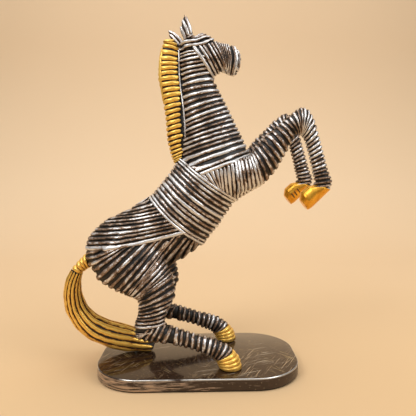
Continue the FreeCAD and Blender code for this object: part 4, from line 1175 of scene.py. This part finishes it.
finish_weave(muzzle, "muzzle_cords", ["muzzle"])

# %% [markdown]
# ## Ears
# Each ear is laid from three lengthwise cords like petals, the foremost the longest. They are
# traced on both faces of the ear, by rays that start close beside it and so miss the other ear.

# %% Ears
NEAR_EAR = [[(-7.4, 280.6), (-5.4, 275.3), (-3.6, 270.9), (-2.4, 265.0)],
            [(-10.0, 277.4), (-8.1, 272.7), (-6.1, 268.8), (-4.6, 263.5)],
            [(-11.6, 273.0), (-10.4, 268.8), (-8.6, 265.4), (-7.0, 260.5)]]
FAR_EAR = [[(-22.4, 274.0), (-18.0, 272.2), (-13.0, 267.5), (-8.0, 261.0)],
           [(-22.8, 271.0), (-19.4, 269.6), (-15.0, 264.6), (-11.0, 258.5)],
           [(-20.5, 275.2), (-15.0, 273.4), (-9.0, 268.6), (-4.5, 262.5)]]
EAR_Y, EAR_HALF, RAY_START = 8.5, 5.5, 6
for (place, name), lines, tone in zip(SIDES, (NEAR_EAR, FAR_EAR), (0.9, 0.3)):
    ear = new_weave()
    centre = place * EAR_Y
    for line in lines:
        for face, _ in SIDES:
            trace(ear, line, side=face, width=2.9, height=1.2, proud=0.1, tone=tone,
                  start=centre + face * RAY_START, between=(centre - EAR_HALF, centre + EAR_HALF),
                  steps=30)
    finish_weave(ear, name + "_ear_petals", [name + "_ear"])

# %% [markdown]
# ## Mane
# The crest is a row of short gold rungs, rounded at the outer edge. They are wound between a line
# along that edge and one along the neck. Two rings close the top, and a wide cord along either side
# of the edge ties the rungs together. A thin silver cord runs down the line where the rungs meet the
# neck.

# %% Mane
MANE_OUTER = [(-27, 263.5), (-29.5, 249), (-30, 236), (-28.5, 222), (-27, 208), (-26, 195),
              (-25, 182), (-22, 172), (-19, 167)]
MANE_INNER = [(-13, 259.5), (-13, 248), (-13, 237.5), (-12, 224.5), (-10.5, 212), (-9, 199),
              (-8, 187), (-8.5, 177), (-12, 170.5)]
MANE_CORD = [(-12.6, 261.5), (-12.6, 248), (-12.4, 236), (-11.4, 224), (-9.6, 210), (-8.6, 198),
             (-8.2, 186)]
MANE_TOP = ((-19.5, 0, 254), (-20.5, 0, 268))
mane = new_weave()
# The twelve upper rungs take full paint and the lower ones much less: a painted highlight, the top
# of the mane painted brighter than its lower part.
wind(mane, MANE_OUTER, MANE_INNER, 26, cut_front=1.5, height=1.3, fill=0.8,
     tones={number: 1.0 - 0.6 * (number > 11) for number in range(26)})
for spread in (0.14, 0.42):
    circle_round(mane, *MANE_TOP, spread, width=2.8)
for side, _ in SIDES:
    trace(mane, np.array(MANE_OUTER[:-1]) + (1.9, 0), side=side, width=3.4, height=1.0, tone=0.9)
finish_weave(mane, "mane_rungs", ["mane"], MANE_GOLD)
mane_cord = new_weave()
for side, _ in SIDES:
    trace(mane_cord, MANE_CORD, side=side, width=1.5, height=0.9, proud=0.25, tone=0.9)
finish_weave(mane_cord, "mane_root_cord", [])

# %% [markdown]
# ## Tail
# The tail leaves the rump through four turns of binding, which are wound. Its long cords bow out
# and down to the base. They are combed round the tail's own axis with a slight twist, because hair
# hangs in locks that run its whole length.

# %% Tail and its binding
BINDING_UPPER = [(-91.6, 92.6), (-94.6, 90.4), (-97.6, 88.2), (-100.6, 84.6)]
BINDING_LOWER = [(-88.2, 84.4), (-89.6, 82.4), (-91.4, 80.6), (-93.0, 78.4)]
TAIL_AXIS = [(-97.5, 80.5, 0), (-101, 71, 0), (-101.8, 63, -0.2), (-100.8, 54, 0.2),
             (-97.5, 45, 1.0), (-90.0, 34.5, 2.4), (-80, 27.8, 4.0), (-68, 24.0, 5.2),
             (-54, 21.4, 6.6), (-45, 19.8, 7.4), (-37.5, 18.6, 8.2)]
binding = new_weave()
wind(binding, BINDING_UPPER, BINDING_LOWER, reach=(9, 9), height=1.5, fill=1.0,
     tones={0: 0.6, 1: 0.9, 2: 0.9, 3: 1.0})
finish_weave(binding, "tail_binding_turns", ["tail_binding"], GOLD)
tail = new_weave()
comb(tail, TAIL_AXIS, 12, turn=0.2, twist=0.7, height=2.6, fill=0.78, steps=90)
finish_weave(tail, "tail_cords", ["tail"], GOLD)

# %% [markdown]
# ## Fore hooves
# The fore hooves are smooth castings with a pointed toe, without cord. Each is a copy of the
# frame's hoof, merged by fine voxels and softened, which keeps its form and rounds its edges. The
# far hoof shows its inner and outer face, and both carry three fine grooves.

# %% Fore hooves
HOOF_VOXEL = 0.45 * MM
HOOF_ROUNDS = 8
HOOF_GROOVES = [[(84.6, 146.0), (86.2, 143.6), (87.6, 141.6)],
                [(82.0, 144.0), (83.8, 141.4), (85.4, 139.2)],
                [(79.4, 142.2), (81.6, 139.4), (83.4, 137.2)]]
for side, name in SIDES:
    hoof = merged_skin(name + "_fore_hoof_shell", HOOF_VOXEL, [name + "_fore_hoof"], HOOF_ROUNDS)
    hoof.data.materials.append(SMOOTH_GOLD)
    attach(hoof, "root")
    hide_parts(name + "_fore_hoof")
    print(hoof.name, len(hoof.data.polygons))
grooves = new_weave()
for points in HOOF_GROOVES:
    for side, start, between in ((-1, 5, (5, OUTSIDE)), (1, None, None)):
        trace(grooves, points, side=side, width=1.1, height=0.8, proud=0.5, tone=0.0,
              taper=1 * MM, start=start, between=between)
finish_weave(grooves, "far_hoof_grooves", [], GROUND)

# %% [markdown]
# ## The base
# The base is a flat oblong with round ends, turned a little at its rims. A cube at the slab's
# place and size gets its corners and then its rims by two bevels, as a woodworker would round them.
# The lacquer above finishes it.

# %% Base
BASE_LOW, BASE_HIGH = (Vector(corner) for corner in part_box("base_slab"))
BASE_CORNER = 37 * MM
RIM_ROUND = 0.8 * MM
CORNER_STEPS = 28


def add_base():
    """A slab with round ends and small round rims."""
    bpy.ops.object.select_all(action="DESELECT")
    bpy.ops.mesh.primitive_cube_add(size=1, location=(BASE_LOW + BASE_HIGH) / 2,
                                    scale=BASE_HIGH - BASE_LOW)
    slab = bpy.context.object
    slab.name = "lacquered_base"
    bpy.ops.object.transform_apply(location=True, rotation=False, scale=True)
    select_edges(slab, lambda one, two: abs(one.z - two.z) > 1 * MM)
    bpy.ops.mesh.bevel(offset=BASE_CORNER, segments=CORNER_STEPS, affect="EDGES")
    select_edges(slab, lambda one, two: abs(one.z - two.z) < 0.01 * MM
                 and max(abs(one.x), abs(one.y)) > 1 * MM)
    bpy.ops.mesh.bevel(offset=RIM_ROUND, segments=3, affect="EDGES")
    face_outwards()
    bpy.ops.object.shade_smooth_by_angle(angle=math.radians(35))
    slab.data.materials.append(LACQUER)
    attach(slab, "root")
    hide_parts("base_slab")
    return slab


slab = add_base()
print("base", [round(side / MM, 1) for side in slab.dimensions], len(slab.data.polygons))

# %% [markdown]
# ## Hidden pieces
# The felt, the screws, the wires and the dowels keep the frame's shapes. They get the finishes that
# such pieces have.

# %% Hidden pieces
HIDDEN = {"felt": FELT, "steel_wire": WIRE_STEEL, "steel_screw": SCREW_STEEL,
          "dowel_wood": BEECH}
for name, node in frame["nodes"].items():
    if node.hide_render:
        continue
    for slot in node.material_slots:
        if slot.material and slot.material.name in HIDDEN:
            slot.material = HIDDEN[slot.material.name]
    print(name, [slot.material.name for slot in node.material_slots])
